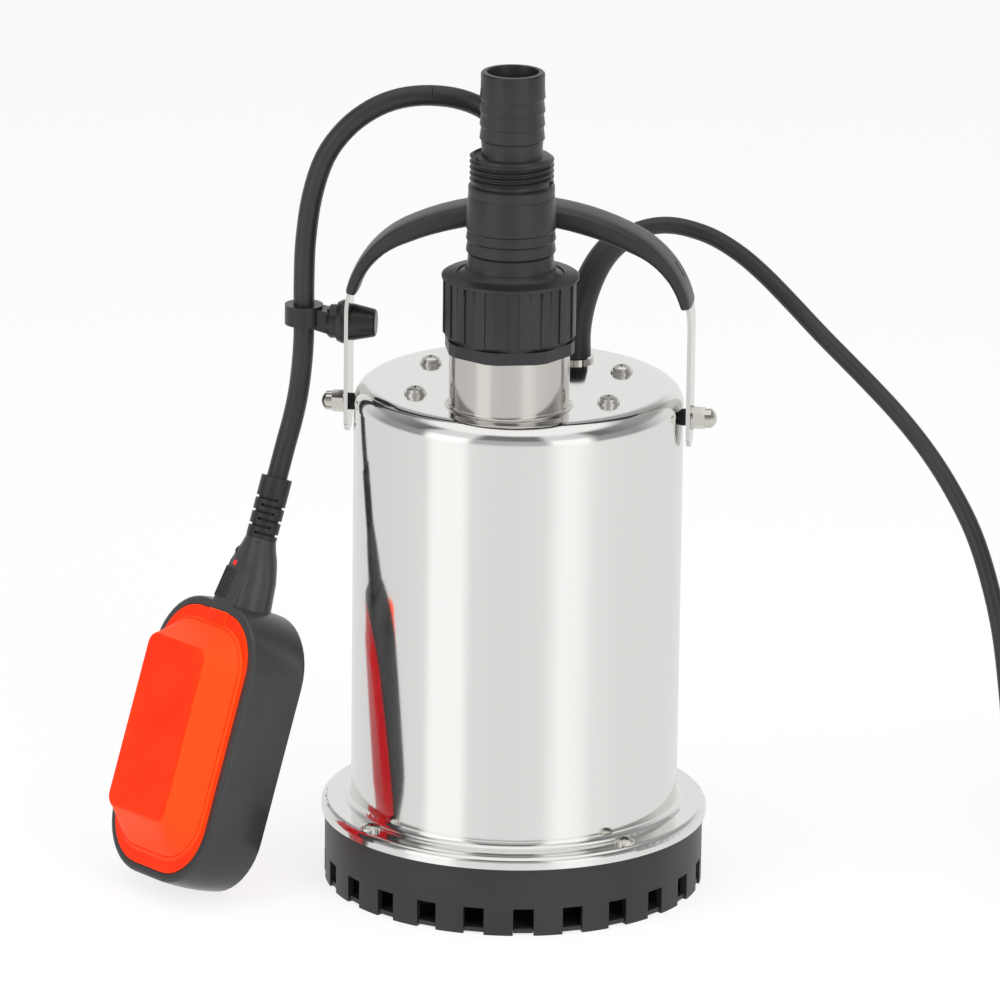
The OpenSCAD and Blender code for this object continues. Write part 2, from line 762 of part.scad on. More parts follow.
module stator_core() {
  color("#6f7278") difference() {
    pipe(stator_r, stator_in_r, stack_z, stack_top);
    for (i = [0 : stator_slots - 1])
      rotate([0, 0, i * 360 / stator_slots])
        translate([stator_in_r + 2, -1.6, stack_z - over]) cube([11, 3.2, stack_l + 2 * over]);
  }
}

module winding_ring(z0) {
  rotate_extrude() {
    translate([stator_in_r + 5, z0]) square([9, winding_l]);
    translate([stator_in_r + 2, z0 + 3]) square([15, winding_l - 6]);
    for (x = [stator_in_r + 5, stator_in_r + 14], z = [z0 + 3, z0 + winding_l - 3])
      translate([x, z]) circle(r = 3);
  }
}

module windings() {
  color("#b0662c") {
    winding_ring(stack_z - winding_l);
    winding_ring(stack_top);
  }
}

module rotor_core() {
  color("#8a8d92") difference() {
    union() {
      disc(rotor_r, stack_z, stack_top);
      disc(rotor_r - 1.5, stack_z - 3, stack_top + 3);
    }
    disc(rotor_r - 11, stack_z - 4, stack_z);
    disc(rotor_r - 11, stack_top, stack_top + 4);
    disc(shaft_r + seat, stack_z - 4, stack_top + 4);
  }
}

module shaft() {
  color("#d8d8da") {
    disc(shaft_r, impeller_z, shaft_top);
    disc(stud_end_r, impeller_z - nut_t - 0.5, impeller_z + over);
  }
}

module bearing(z0) {
  difference() {
    pipe(bearing_r, shaft_r + running, z0, z0 + bearing_w);
    for (z = [z0 - over, z0 + bearing_w - 0.8])
      pipe(bearing_r - 3, shaft_r + 3, z, z + over + 0.8);
  }
}

module lower_bearing() {
  color("silver") bearing(lower_bearing_z);
}

module upper_bearing() {
  color("silver") bearing(upper_bearing_z);
}

module upper_bearing_bracket() {
  color("#b4b7bb") difference() {
    union() {
      disc(motor_in_r - 0.1, bracket_top - bracket_t, bracket_top);
      disc(hub_r, upper_bearing_z, bracket_top);
    }
    disc(bearing_r + seat, upper_bearing_z - over, upper_bearing_top);
    disc(shaft_r + 2, upper_bearing_top - over, bracket_top + over);
    for (i = [0 : 5])
      rotate([0, 0, 30 + i * 60]) translate([(hub_r + motor_in_r) / 2, 0, 0])
        disc(5, bracket_top - bracket_t - over, bracket_top + over);
  }
}

module shaft_seals() {
  color("#151515") for (z = [carrier_z + 1.5, carrier_z + 8.5])
    pipe(lip_seal_r, shaft_r + 0.1, z, z + 6);
}

module seal_carrier() {
  color("#3a3b3e") difference() {
    union() {
      disc(motor_r, carrier_z, motor_z);
      pipe(motor_in_r - 0.1, motor_in_r - spigot_wall, motor_z - over, motor_z + spigot_h);
      disc(hub_r, carrier_z, lower_hub_top);
    }
    disc(lip_seal_r + seat, carrier_z - over, lower_bearing_z + over);
    disc(bearing_r + seat, lower_bearing_z, lower_hub_top + over);
  }
}

module capacitor() {
  color("#e8e8e4") translate([capacitor_at[0], capacitor_at[1], bracket_top]) {
    cylinder(r = capacitor_r, h = capacitor_l - 5);
    for (x = [-4, 4])
      translate([x - 0.4, -3, capacitor_l - 5]) cube([0.8, 6, 5]);
  }
}

module terminal_block() {
  color("#d9d6c8") translate([block_at[0], block_at[1], bracket_top]) difference() {
    translate([-block_size[0] / 2, -block_size[1] / 2, 0]) cube(block_size);
    for (x = [-8, 0, 8]) {
      translate([x, 0, 5]) cylinder(r = 2.2, h = block_size[2]);
      translate([x, -block_size[1], 4]) rotate([-90, 0, 0]) cylinder(r = 1.6, h = 2 * block_size[1]);
    }
  }
}

// ---- pump chamber ----
module suction_plate() {
  color("#2b2c2e") {
    pipe(chamber_r, eye_r, intake_h, suction_top);
    pipe(eye_r + 3, eye_r, intake_h - 4, intake_h + over);
  }
}

module pump_chamber() {
  color("#333437") difference() {
    union() {
      pipe(chamber_r, chamber_r - chamber_wall, suction_top, roof_z + over);
      disc(chamber_r, roof_z, carrier_z);
      pipe(chamber_r, window_out_r + 1, carrier_z - over, carrier_z + collar_h);
    }
    disc(lip_seal_r + seat, roof_z - over, carrier_z + over);
    for (i = [0 : window_count - 1])
      rotate([0, 0, i * 360 / window_count])
        rotate_extrude(angle = 42) translate([window_in_r, roof_z - over])
          square([window_out_r - window_in_r, roof_t + 2 * over]);
  }
}

module chamber_seal() {
  color("#151515")
    pipe(barrel_in_r - 0.1, chamber_r + 0.1, carrier_z + collar_h / 2, carrier_z + collar_h / 2 + seal_h);
}

module impeller() {
  color("#3a3b3e") difference() {
    union() {
      disc(impeller_d / 2, impeller_z + vane_h, impeller_top);
      disc(shaft_r + 5, impeller_z, impeller_top);
      translate([0, 0, impeller_z]) linear_extrude(vane_h + over) intersection() {
        circle(r = impeller_d / 2);
        difference() {
          for (i = [0 : vane_count - 1])
            rotate([0, 0, i * 360 / vane_count]) translate([impeller_d * 0.29, 0])
              difference() {
                circle(r = impeller_d * 0.28);
                circle(r = impeller_d * 0.28 - 2.2);
                translate([-impeller_d, 0]) square(2 * impeller_d);
              }
          circle(r = shaft_r + 2);
        }
      }
    }
    disc(shaft_r + seat, impeller_z - over, impeller_top + over);
  }
}

module impeller_nut() {
  color("gold") difference() {
    translate([0, 0, impeller_z - nut_t]) cylinder(r = nut_af / 2 / cos(30), h = nut_t, $fn = 6);
    disc(stud_end_r + seat, impeller_z - nut_t - over, impeller_z + over);
  }
}

// ---- handle ----
// A band bent round a corner or the arch: profile in (radius, y)
module bend(x, z, from, to) {
  translate([x, 0, z]) rotate([90, 0, 0]) rotate([0, 0, from])
    rotate_extrude(angle = to - from, $fn = 128) children();
}

module strap_leg() {
  difference() {
    union() {
      translate([leg_x - strap_t / 2, -strap_w / 2, pivot_z - strap_end + strap_w / 2])
        cube([strap_t, strap_w, corner_z - pivot_z + strap_end - strap_w / 2 + loose]);
      translate([leg_x - strap_t / 2, 0, pivot_z - strap_end + strap_w / 2]) rotate([0, 90, 0])
        cylinder(r = strap_w / 2, h = strap_t);
    }
    translate([leg_x - strap_t, 0, pivot_z]) rotate([0, 90, 0])
      cylinder(r = stud_r + running, h = 2 * strap_t);
  }
}

// The bent corners are a hair thinner than the legs and the arch that they join
module strap_bend_section() {
  translate([corner_r - strap_t / 2 + draw / 2, -strap_w / 2 + draw])
    square([strap_t - draw, strap_w - 2 * draw]);
}

module handle_strap() {
  color("#c9ccd0") difference() {
    union() {
      strap_leg();
      mirror([1, 0, 0]) strap_leg();
      bend(corner_x, corner_z, 0, corner_turn)
        strap_bend_section();
      mirror([1, 0, 0]) bend(corner_x, corner_z, 0, corner_turn)
        strap_bend_section();
      bend(0, arch_z, corner_turn, 180 - corner_turn)
        translate([arch_r - strap_t / 2, -strap_w / 2]) square([strap_t, strap_w]);
    }
    translate([-strap_out - over, 0, clip_z]) rotate([0, 90, 0])
      cylinder(r = clip_stem_d / 2 + running, h = strap_t + 2 * over);
  }
}

// Section of the grip at path radius r: a moulded channel that clasps the strap
module grip_section(r, inset) {
  top = r + strap_t / 2 + grip_up - inset;
  bottom = r - strap_t / 2 - grip_down + inset;
  half = grip_w / 2 - inset;
  difference() {
    union() {
      translate([bottom, -half]) square([top - grip_round - bottom, 2 * half]);
      translate([bottom, -half + grip_round]) square([top - bottom, 2 * (half - grip_round)]);
      for (y = [-half + grip_round, half - grip_round])
        translate([top - grip_round, y]) circle(r = grip_round);
    }
    translate([bottom - over, -strap_w / 2 - 0.1])
      square([r + strap_t / 2 + 0.1 - bottom + over, strap_w + 0.2]);
  }
}

// A frame that stands on the arch at an angle from the vertical, z outwards
module on_arch(a) {
  translate([0, 0, arch_z]) rotate([0, a, 0]) translate([0, 0, arch_r]) children();
}

// A corner of the grip: a wider arc thins it from below towards its end
module grip_corner() {
  difference() {
    bend(corner_x, corner_z, grip_end, corner_turn) grip_section(corner_r, draw);
    translate([corner_x - taper_shift * cos(corner_turn), grip_w,
      corner_z - taper_shift * sin(corner_turn)])
      rotate([90, 0, 0]) cylinder(r = taper_in + taper_shift, h = 2 * grip_w);
  }
}

module handle_grip() {
  color("#2b2c2e") difference() {
    union() {
      grip_corner();
      mirror([1, 0, 0]) grip_corner();
      bend(0, arch_z, corner_turn, 180 - corner_turn) grip_section(arch_r, 0);
      for (a = grip_rib_angles)
        on_arch(a) translate([-grip_rib_t / 2, -strap_w / 2 - 0.2, -strap_t / 2 - grip_down + 1])
          cube([grip_rib_t, strap_w + 0.4, grip_down - 1.2]);
    }
    translate([corner_x, 0, corner_z]) rotate([0, 90 - grip_slot_angle, 0])
      translate([-grip_slot_l / 2, -1, corner_r + strap_t / 2 + grip_up - 1.2]) cube([grip_slot_l, 2, 3]);
  }
}

module at_pivots() {
  for (side = [0, 1])
    mirror([side, 0, 0]) translate([0, 0, pivot_z]) rotate([0, 90, 0]) children();
}

module pivot_bolts() {
  color("silver") at_pivots() {
    disc(bolt_head_r, bolt_head_x, bolt_head_x + bolt_head_t);
    disc(stud_r, bolt_head_x + over, cap_nut_x + cap_hex_h);
  }
}

module pivot_spacers() {
  color("#151515") at_pivots() pipe(spacer_r, stud_r + seat, casing_r, casing_r + spacer_t);
}

module pivot_washers() {
  color("silver") at_pivots() pipe(stud_d, stud_r + seat, washer_x, cap_nut_x);
}

module cap_nuts() {
  color("silver") at_pivots() difference() {
    union() {
      translate([0, 0, cap_nut_x]) cylinder(r = cap_nut_af / 2 / cos(30), h = cap_hex_h, $fn = 6);
      intersection() {
        disc(cap_nut_af / 2 - 0.1, cap_nut_x, cap_nut_x + cap_nut_h);
        translate([0, 0, cap_nut_x + cap_nut_h - cap_nut_af / 2 - 0.6]) sphere(r = cap_nut_af / 2 + 0.6);
      }
    }
    disc(stud_r + seat, cap_nut_x - over, cap_nut_x + cap_hex_h + 0.1);
  }
}

// ---- cable clip ----
module cable_clip() {
  knob_face = strap_in - clip_gap;
  flange_face = strap_out + clip_gap;
  color("#1c1c1e") difference() {
    union() {
      translate([0, 0, clip_z]) rotate([0, -90, 0]) rotate_extrude() polygon([
        [0, knob_face - knob_l], [knob_d / 2 - 2.4, knob_face - knob_l],
        [knob_d / 2 - 1.8, knob_face - knob_l + 0.6], [knob_d / 2, knob_face - 1],
        [knob_d / 2, knob_face], [clip_stem_d / 2, knob_face], [clip_stem_d / 2, flange_face],
        [clip_flange_d / 2, flange_face], [clip_flange_d / 2, flange_face + 1.4],
        [clip_flange_d / 2 - 0.9, flange_face + 3.4], [clip_flange_d / 2 - 2, flange_face + 3.4],
        [clip_flange_d / 2 - 2, flange_face + 6.2], [clip_flange_d / 2 - 3, flange_face + 7.4],
        [0, flange_face + 7.4]]);
      translate([loop_at[0], loop_at[1], loop_z]) cylinder(r = loop_r, h = loop_h);
      translate([0, neck_w / 2, 0]) rotate([90, 0, 0]) linear_extrude(neck_w) polygon([
        [loop_at[0], loop_z], [-flange_face - 6, clip_z - neck_h / 2],
        [-flange_face - 6, clip_z + neck_h / 2], [loop_at[0], loop_z + loop_h]]);
    }
    translate([loop_at[0], loop_at[1], loop_z - neck_h / 2]) cylinder(r = loop_bore_r, h = loop_h + neck_h);
  }
}

// ---- float ----
module float_frame() {
  half = float_t / 2;
  color("#2b2c2e") on_float() difference() {
    union() {
      hull() {
        slab(0, -half + float_edge, half - float_edge);
        slab(0.3 * float_edge, -half + 0.3 * float_edge, half - 0.3 * float_edge);
        slab(0.75 * float_edge, -half, half);
      }
      hull() {
        translate(neck_at + [0, 0, -float_wall + over]) linear_extrude(over) rounded(23.5, 18.5, 5, 9.25);
        translate(neck_at + [0, 0, 19]) linear_extrude(over) rounded(18.5, 16.5, 5, 8.25);
        translate(neck_at + [0, 0, neck_l - over]) cylinder(r = sleeve_r, h = over, $fn = 32);
      }
    }
    for (side = [0, 1])
      mirror([0, side, 0]) slab(float_rim, half - cover_seat, half + over);
    slab(float_wall, -half - over, half + over);
  }
}

// The raised block of a cover, its flat top h above the frame
module cover_block(h, inset) {
  half = float_t / 2;
  side = float_rim + ledge_side + ledge_gap + inset;
  end = float_rim + ledge_end + ledge_gap + inset;
  seat_y = half - (inset > 0 ? cover_seat + over : 0);
  hull() {
    translate([0, seat_y + ledge_t, 0]) rotate([90, 0, 0]) linear_extrude(ledge_t)
      rounded(float_w - 2 * side, float_l - 2 * end, float_corner - side, -end);
    translate([0, half + h - inset, 0]) rotate([90, 0, 0]) linear_extrude(ledge_t)
      rounded(plateau_w - 1.2 * inset, plateau_l - 1.2 * inset, 4, -plateau_top - 0.6 * inset);
  }
}

module float_cover(h) {
  difference() {
    union() {
      slab(float_rim + ledge_gap, float_t / 2 - cover_seat, float_t / 2 + ledge_t);
      cover_block(h, 0);
    }
    cover_block(h, cover_wall);
  }
}

module float_front_cover() {
  color("#ff4a1c") on_float() mirror([0, 1, 0]) float_cover(cover_h);
}

module float_rear_cover() {
  color("#d8203a") on_float() float_cover(rear_cover_h);
}

// The sleeve bends at slits that are cut from its two sides in turn
module float_sleeve() {
  pitch = (sleeve_l - sleeve_grip) / sleeve_slits;
  reach = sleeve_r + over;
  color("#1c1c1e") on_float() translate(neck_at + [0, 0, neck_l]) rotate([0, 0, slit_turn]) difference() {
    cylinder(r = sleeve_r, h = sleeve_l);
    for (i = [0 : sleeve_slits - 1])
      translate([0, 0, (i + 0.5) * pitch]) difference() {
        translate([i % 2 == 0 ? -slit_hold : -reach, -reach, 0])
          cube([reach + slit_hold, 2 * reach, slit_h]);
        translate([0, 0, -over]) cylinder(r = sleeve_core_r, h = slit_h + 2 * over);
      }
    translate([0, 0, sleeve_l - sleeve_grip])
      cylinder(r = float_cable_r + cable_gap, h = sleeve_grip + over);
  }
}

module float_microswitch() {
  color("#3355aa") on_float() translate([0, 0, -float_wall - loose - switch_size[2]]) difference() {
    translate([-switch_size[0] / 2, -switch_size[1] / 2, 0]) cube(switch_size);
    for (z = [switch_hole_inset, switch_size[2] - switch_hole_inset])
      translate([0, -switch_size[1], z]) rotate([-90, 0, 0])
        cylinder(r = switch_hole_r, h = 2 * switch_size[1]);
  }
}

module float_ballast() {
  color("#8a8d92") on_float() translate([0, 0, -float_l + float_wall]) difference() {
    cylinder(r = ballast_r, h = ballast_l);
    translate([0, 0, ballast_l - ballast_bore_depth])
      cylinder(r = ballast_bore_r, h = ballast_bore_depth + over);
  }
}

// ---- cables ----
module float_cable_rear() {
  color("#232326") swept(rear_route, float_cable_r, tube_sides);
}

module float_cable_front() {
  color("#232326") swept(front_route, float_cable_r, tube_sides);
}

module float_lead() {
  color("#232326") swept(lead_route, float_cable_r, tube_sides);
}

module power_cable() {
  color("#232326") swept(power_route, lead_r, tube_sides);
}

module cable_coil() {
  color("#232326") swept(coil_line(), lead_r, coil_sides);
}

module cable_ties() {
  reach_in = coil_in_r - lead_r - tie_gap;
  reach_out = coil_out_r + lead_r + tie_gap;
  top = coil_bottom + (coil_layers - 1) * coil_pitch + lead_r + tie_gap;
  color("#151515") for (a = tie_angles)
    translate([coil_at[0], coil_at[1], 0]) rotate([0, 0, a]) difference() {
      translate([reach_in - tie_t, -tie_w / 2, 0])
        cube([reach_out - reach_in + 2 * tie_t, tie_w, top + tie_t]);
      translate([reach_in, -tie_w / 2 - over, tie_t])
        cube([reach_out - reach_in, tie_w + 2 * over, top - tie_t]);
    }
}

module plug_lead() {
  color("#232326") swept(plug_route, lead_r, tube_sides);
}

module on_plug() {
  translate(plug_at) rotate([90, 0, 0]) children();
}

module power_plug() {
  face_z = plug_sleeve_l + plug_body_l;
  color("#1c1c1e") on_plug() difference() {
    rotate_extrude() difference() {
      polygon([[0, 0], [lead_r + 1.6, 0], [lead_r + 3.6, plug_sleeve_l], [12, plug_sleeve_l + 7],
        [14.5, face_z - 15], [plug_face_r - 0.8, face_z - 12], [plug_face_r, face_z - 10],
        [plug_face_r, face_z - 0.8], [plug_face_r - 0.8, face_z], [0, face_z]]);
      translate([0, -over]) square([lead_r + cable_gap, 10 + over]);
    }
    for (x = [-pin_half, pin_half])
      translate([x, 0, face_z - 8]) cylinder(r = pin_r + seat, h = 10);
    translate([0, 6.5, face_z - 12]) cylinder(r = 2.6, h = 14);
    for (y = [-1, 1])
      translate([-2.8, y > 0 ? plug_face_r - 2.2 : -plug_face_r - 1.8, face_z - 11]) cube([5.6, 4, 12]);
  }
}

module plug_pins() {
  face_z = plug_sleeve_l + plug_body_l;
  color("silver") on_plug() for (x = [-pin_half, pin_half])
    translate([x, 0, face_z - 8]) {
      cylinder(r = pin_r, h = pin_l + 7);
      translate([0, 0, pin_l + 7]) cylinder(r1 = pin_r, r2 = pin_r - 1, h = 1);
    }
}

base_strainer();
base_plate();
base_screws();
casing();
top_screws();
discharge_tube();
union_nut();
union_seal();
hose_adapter();
power_gland();
float_gland();
gland_collars();
motor_housing();
motor_cap();
stator_core();
windings();
rotor_core();
shaft();
upper_bearing();
upper_bearing_bracket();
lower_bearing();
shaft_seals();
seal_carrier();
chamber_seal();
impeller();
impeller_nut();
pump_chamber();
suction_plate();
capacitor();
terminal_block();
handle_strap();
handle_grip();
pivot_bolts();
pivot_spacers();
pivot_washers();
cap_nuts();
cable_clip();
float_frame();
float_front_cover();
float_rear_cover();
float_sleeve();
float_microswitch();
float_ballast();
float_cable_rear();
float_cable_front();
float_lead();
power_cable();
cable_coil();
cable_ties();
plug_lead();
power_plug();
plug_pins();
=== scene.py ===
"""Dresses the submersible drain pump: surfaces, cords and the pieces that need more than the solids give.

Metres, Z up, the floor at z = 0 and the motor's axis at x = y = 0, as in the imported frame.
"""

import math

import bmesh
import bpy
from mathutils import Euler, Matrix, Vector


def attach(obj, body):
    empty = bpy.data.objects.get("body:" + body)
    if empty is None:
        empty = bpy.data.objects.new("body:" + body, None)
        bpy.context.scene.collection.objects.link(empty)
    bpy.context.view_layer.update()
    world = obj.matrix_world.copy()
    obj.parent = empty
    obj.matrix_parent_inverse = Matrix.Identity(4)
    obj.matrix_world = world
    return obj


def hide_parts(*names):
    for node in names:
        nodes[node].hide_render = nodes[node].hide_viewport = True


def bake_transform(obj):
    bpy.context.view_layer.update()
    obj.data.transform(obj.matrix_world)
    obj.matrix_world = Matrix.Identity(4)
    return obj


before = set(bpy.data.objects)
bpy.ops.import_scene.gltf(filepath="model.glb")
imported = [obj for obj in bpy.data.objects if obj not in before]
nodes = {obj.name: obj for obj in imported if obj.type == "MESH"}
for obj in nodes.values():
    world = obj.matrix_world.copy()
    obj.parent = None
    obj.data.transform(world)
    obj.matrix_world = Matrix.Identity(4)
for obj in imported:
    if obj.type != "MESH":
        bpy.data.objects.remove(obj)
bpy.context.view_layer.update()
mm = 0.001


# ---- Strainer base ----
# A ring of glass-filled polypropylene, injection moulded in one shot with its slots and screw bosses.
# The mould was spark-eroded, which leaves an even satin grain; the bottom plate snaps in from below.

def linear(hex_colour):
    """An sRGB hex colour as the linear RGBA that the shaders read."""
    parts = [int(hex_colour[i:i + 2], 16) / 255 for i in (1, 3, 5)]
    return [p / 12.92 if p <= 0.04045 else ((p + 0.055) / 1.055) ** 2.4 for p in parts] + [1.0]


def add(tree, kind, sockets=None, stops=(), **settings):
    """Adds one shader node, with its settings, its ramp's stops, and a value or a link for each socket."""
    made = tree.nodes.new("ShaderNode" + kind)
    for name, value in settings.items():
        setattr(made, name, value)
    for i, (place, colour) in enumerate(stops):
        if i >= len(made.color_ramp.elements):
            made.color_ramp.elements.new(place)
        made.color_ramp.elements[i].position = place
        made.color_ramp.elements[i].color = colour
    for name, value in (sockets or {}).items():
        if isinstance(value, bpy.types.NodeSocket):
            tree.links.new(value, made.inputs[name])
        else:
            made.inputs[name].default_value = value
    return made


def blank_material(name):
    """A material with an empty node tree."""
    made = bpy.data.materials.new(name)
    made.use_nodes = True
    made.node_tree.nodes.clear()
    return made, made.node_tree


def shine(tree, shader):
    """Links a finished shader to the material's output."""
    add(tree, "OutputMaterial", {"Surface": shader.outputs[0]})


def dress(material, *names):
    """Gives CAD nodes a material in place of their plain one."""
    for name in names:
        slots = nodes[name].data.materials
        slots.clear()
        slots.append(material)


def moulded(name, low, high, roughness, grain_mm, depth, blotch_mm=30.0, specular=0.5):
    """Moulded plastic: a spark-eroded grain, and the slow change of tone that filled plastic has.

    The real grain is under 0.1 mm and wouldn't show, so it is drawn about five times as coarse.
    """
    material, tree = blank_material(name)
    place = add(tree, "TexCoord").outputs["Object"]
    grain = add(tree, "TexNoise", {"Vector": place, "Scale": 1000 / grain_mm, "Detail": 3.0})
    blotch = add(tree, "TexNoise", {"Vector": place, "Scale": 1000 / blotch_mm, "Detail": 4.0})
    tone = add(tree, "ValToRGB", {"Fac": blotch.outputs["Fac"]}, [(0.35, linear(low)), (0.65, linear(high))])
    rub = add(tree, "MapRange", {"Value": blotch.outputs["Fac"], "From Min": 0.3, "From Max": 0.7,
                                 "To Min": roughness - 0.05, "To Max": roughness + 0.05})
    bump = add(tree, "Bump", {"Height": grain.outputs["Fac"], "Strength": 0.6, "Distance": depth * mm})
    shine(tree, add(tree, "BsdfPrincipled", {
        "Base Color": tone.outputs["Color"], "Roughness": rub.outputs["Result"],
        "Normal": bump.outputs["Normal"], "Specular IOR Level": specular, "IOR": 1.49}))
    return material


# Glass-filled polypropylene: a satin black that greys where the light rakes it
polypropylene = moulded("moulded_polypropylene", "#202022", "#28282a", 0.42, 0.5, 0.02)
dress(polypropylene, "base_strainer", "base_plate", "suction_plate")


def worked_metal(name, colour, roughness, line_mm, along):
    """Worked metal: fine parallel lines, which spread each reflection across them.

    A tool's feed is too fine to show, so its lines are drawn coarser than that.
    """
    material, tree = blank_material(name)
    place = add(tree, "TexCoord").outputs["Object"]
    turned = add(tree, "Mapping", {"Vector": place, "Scale": along})
    line = add(tree, "TexNoise", {"Vector": turned.outputs["Vector"], "Scale": 1000 / line_mm, "Detail": 2.0})
    rub = add(tree, "MapRange", {"Value": line.outputs["Fac"],
                                 "To Min": roughness * 0.7, "To Max": roughness * 1.3})
    bump = add(tree, "Bump", {"Height": line.outputs["Fac"], "Strength": 0.15, "Distance": 0.02 * mm})
    shine(tree, add(tree, "BsdfPrincipled", {
        "Base Color": linear(colour), "Metallic": 1.0, "Roughness": rub.outputs["Result"],
        "Normal": bump.outputs["Normal"]}))
    return material


# Zinc-plated steel: bright, a little warm, with a soft blur
plated = worked_metal("zinc_plated_steel", "#d6d3cc", 0.14, 0.4, (1, 1, 1))
dress(plated, "base_screws")


# ---- Motor and impeller ----
# The dry motor stands in its own die-cast housing inside the jacket, and drives the impeller below it
# through two lip seals. Only a cut through the pump shows these pieces.

# Die-cast aluminium: grey, with the fine orange peel of the die
cast_aluminium = worked_metal("die_cast_aluminium", "#b9bcc0", 0.42, 1.2, (1, 1, 1))
dress(cast_aluminium, "motor_housing", "upper_bearing_bracket")

# Stamped silicon steel: dull grey edges of thin sheets, one on the other
laminations = worked_metal("stacked_silicon_steel", "#8a8c90", 0.4, 0.5, (0.02, 0.02, 1))
dress(laminations, "stator_core", "rotor_core")

# Ground bearing steel: a bright skin with the grinder's rings round it
bearing_steel = worked_metal("ground_bearing_steel", "#d8d8da", 0.12, 0.2, (0.05, 0.05, 1))
dress(bearing_steel, "shaft", "upper_bearing", "lower_bearing")

# Turned brass: warm yellow, with the tool's rings
brass = worked_metal("turned_brass", "#cda85a", 0.22, 0.3, (0.05, 0.05, 1))
dress(brass, "impeller_nut")

# Glass-filled nylon: dark grey and satin, with the fibres just under its skin
filled_nylon = moulded("moulded_glass_filled_nylon", "#303134", "#3a3b3f", 0.42, 0.6, 0.02)
dress(filled_nylon, "motor_cap", "seal_carrier", "pump_chamber", "impeller")

# Nitrile rubber: black and dull, almost without a highlight
nitrile = moulded("moulded_nitrile_rubber", "#161617", "#1c1c1e", 0.55, 0.4, 0.02)
dress(nitrile, "shaft_seals", "chamber_seal")

# Enamelled copper wire, wound side by side: brown-red, with a glossy lacquer
enamel_wire = worked_metal("enamelled_copper_wire", "#a85a2c", 0.3, 0.9, (1, 1, 0.1))
dress(enamel_wire, "windings")

# White ABS of the capacitor's can and the terminal block
white_abs = moulded("moulded_white_abs", "#dcdcd8", "#e6e6e2", 0.35, 0.5, 0.01)
dress(white_abs, "capacitor", "terminal_block")


# ---- Casing ----
# One drawn cup of stainless steel sheet, polished after drawing while it turned on its axis.
# It mirrors what stands round it, and only fine rings show that it was turned.

def polished_stainless(name, colour, roughness, ring_mm, depth, along):
    """Stainless steel, buffed along one direction: a mirror with faint lines that blur across them.

    The real lines are as fine as a hair and wouldn't show, so they are drawn about ten times as coarse.
    """
    material, tree = blank_material(name)
    place = add(tree, "TexCoord").outputs["Object"]
    lines = add(tree, "Mapping", {"Vector": place, "Scale": along})
    line = add(tree, "TexNoise", {"Vector": lines.outputs["Vector"], "Scale": 1000 / ring_mm, "Detail": 3.0})
    rub = add(tree, "MapRange", {"Value": line.outputs["Fac"], "From Min": 0.3, "From Max": 0.7,
                                 "To Min": roughness * 0.7, "To Max": roughness * 1.4})
    bump = add(tree, "Bump", {"Height": line.outputs["Fac"], "Strength": 0.2, "Distance": depth * mm})
    shine(tree, add(tree, "BsdfPrincipled", {
        "Base Color": linear(colour), "Metallic": 1.0, "Roughness": rub.outputs["Result"],
        "Normal": bump.outputs["Normal"]}))
    return material


# Polished while it turned: near a mirror, with rings that run round the barrel
stainless = polished_stainless("polished_stainless_steel", "#e9e8e6", 0.09, 0.6, 0.001, (0.004, 0.004, 1))
dress(stainless, "casing")


# ---- Top screws ----
# Pan-head machine screws of plated steel, each on a thin washer, hold the motor's head to the casing.
# They were tumbled before plating, so their edges are soft.

# Tumbled zinc plate: satin, so that each dome takes the whole room as one soft light
tumbled_zinc = worked_metal("tumbled_zinc_plate", "#e6e4e0", 0.32, 0.4, (1, 1, 1))
dress(tumbled_zinc, "top_screws")


# ---- Outlet ----
# A stub of stainless tube, brushed along its length after it was welded into the casing's top.
# The union nut is moulded in black polypropylene and clamps the adapter's flange on its seal.

# Brushed along the tube: softer than the casing, with a warm grey in its folds
brushed_stainless = polished_stainless("brushed_stainless_tube", "#cbc7c2", 0.13, 0.5, 0.002, (1, 1, 0.01))
dress(brushed_stainless, "discharge_tube")

# Black polypropylene from a finer mould than the base's: smoother, so that its edges catch the light
nut_plastic = moulded("moulded_black_polypropylene", "#1c1c1d", "#242425", 0.36, 0.45, 0.012)
dress(nut_plastic, "union_nut")
dress(nitrile, "union_seal")


# ---- Hose adapter ----
# One moulding with a 35 mm tail, a G 1 pipe thread and a 25 mm tail, each with its barbs or turns.
# The user saws off the steps that the hose doesn't need, so its bore narrows only once, below the thread.

tube_at = Vector((0, -31.5, 0)) * mm
adapter_profile = [
    (14.7, 254), (23.5, 254), (23.5, 257.6), (21.13, 257.6), (21.13, 261), (20.4, 261.15), (19.3, 261.7),
    (18.4, 262.6), (18, 263.6), (17.1, 263.7), (16.9, 269.4), (17.15, 269.8), (17.75, 270.6),
    (17.15, 274.7), (17.75, 275.5), (17.15, 279), (17.75, 279.6), (17.75, 281.2), (17.15, 292.5),
    (16.85, 292.7), (16.85, 293.1), (17.05, 293.3), (17.05, 296.7), (16.5, 297), (15.2, 297.6),
    (15.2, 308.9), (12.05, 308.9), (12.05, 313), (12.3, 315.2), (12.9, 316), (12.3, 320.7),
    (12.9, 321.5), (12.3, 326.2), (12.9, 327), (12.3, 331.7), (12.9, 332.5), (12.6, 336.5), (12.6, 342),
    (12, 342.6), (10.2, 342.6), (10.2, 299.1), (14.7, 289.1)]
thread_profile = [(15.1, 297.2), (16.62, 298.1), (16.62, 298.35), (15.1, 299.2)]
thread_pitch = 2.309
thread_turns = 4.6
spin_steps = 96


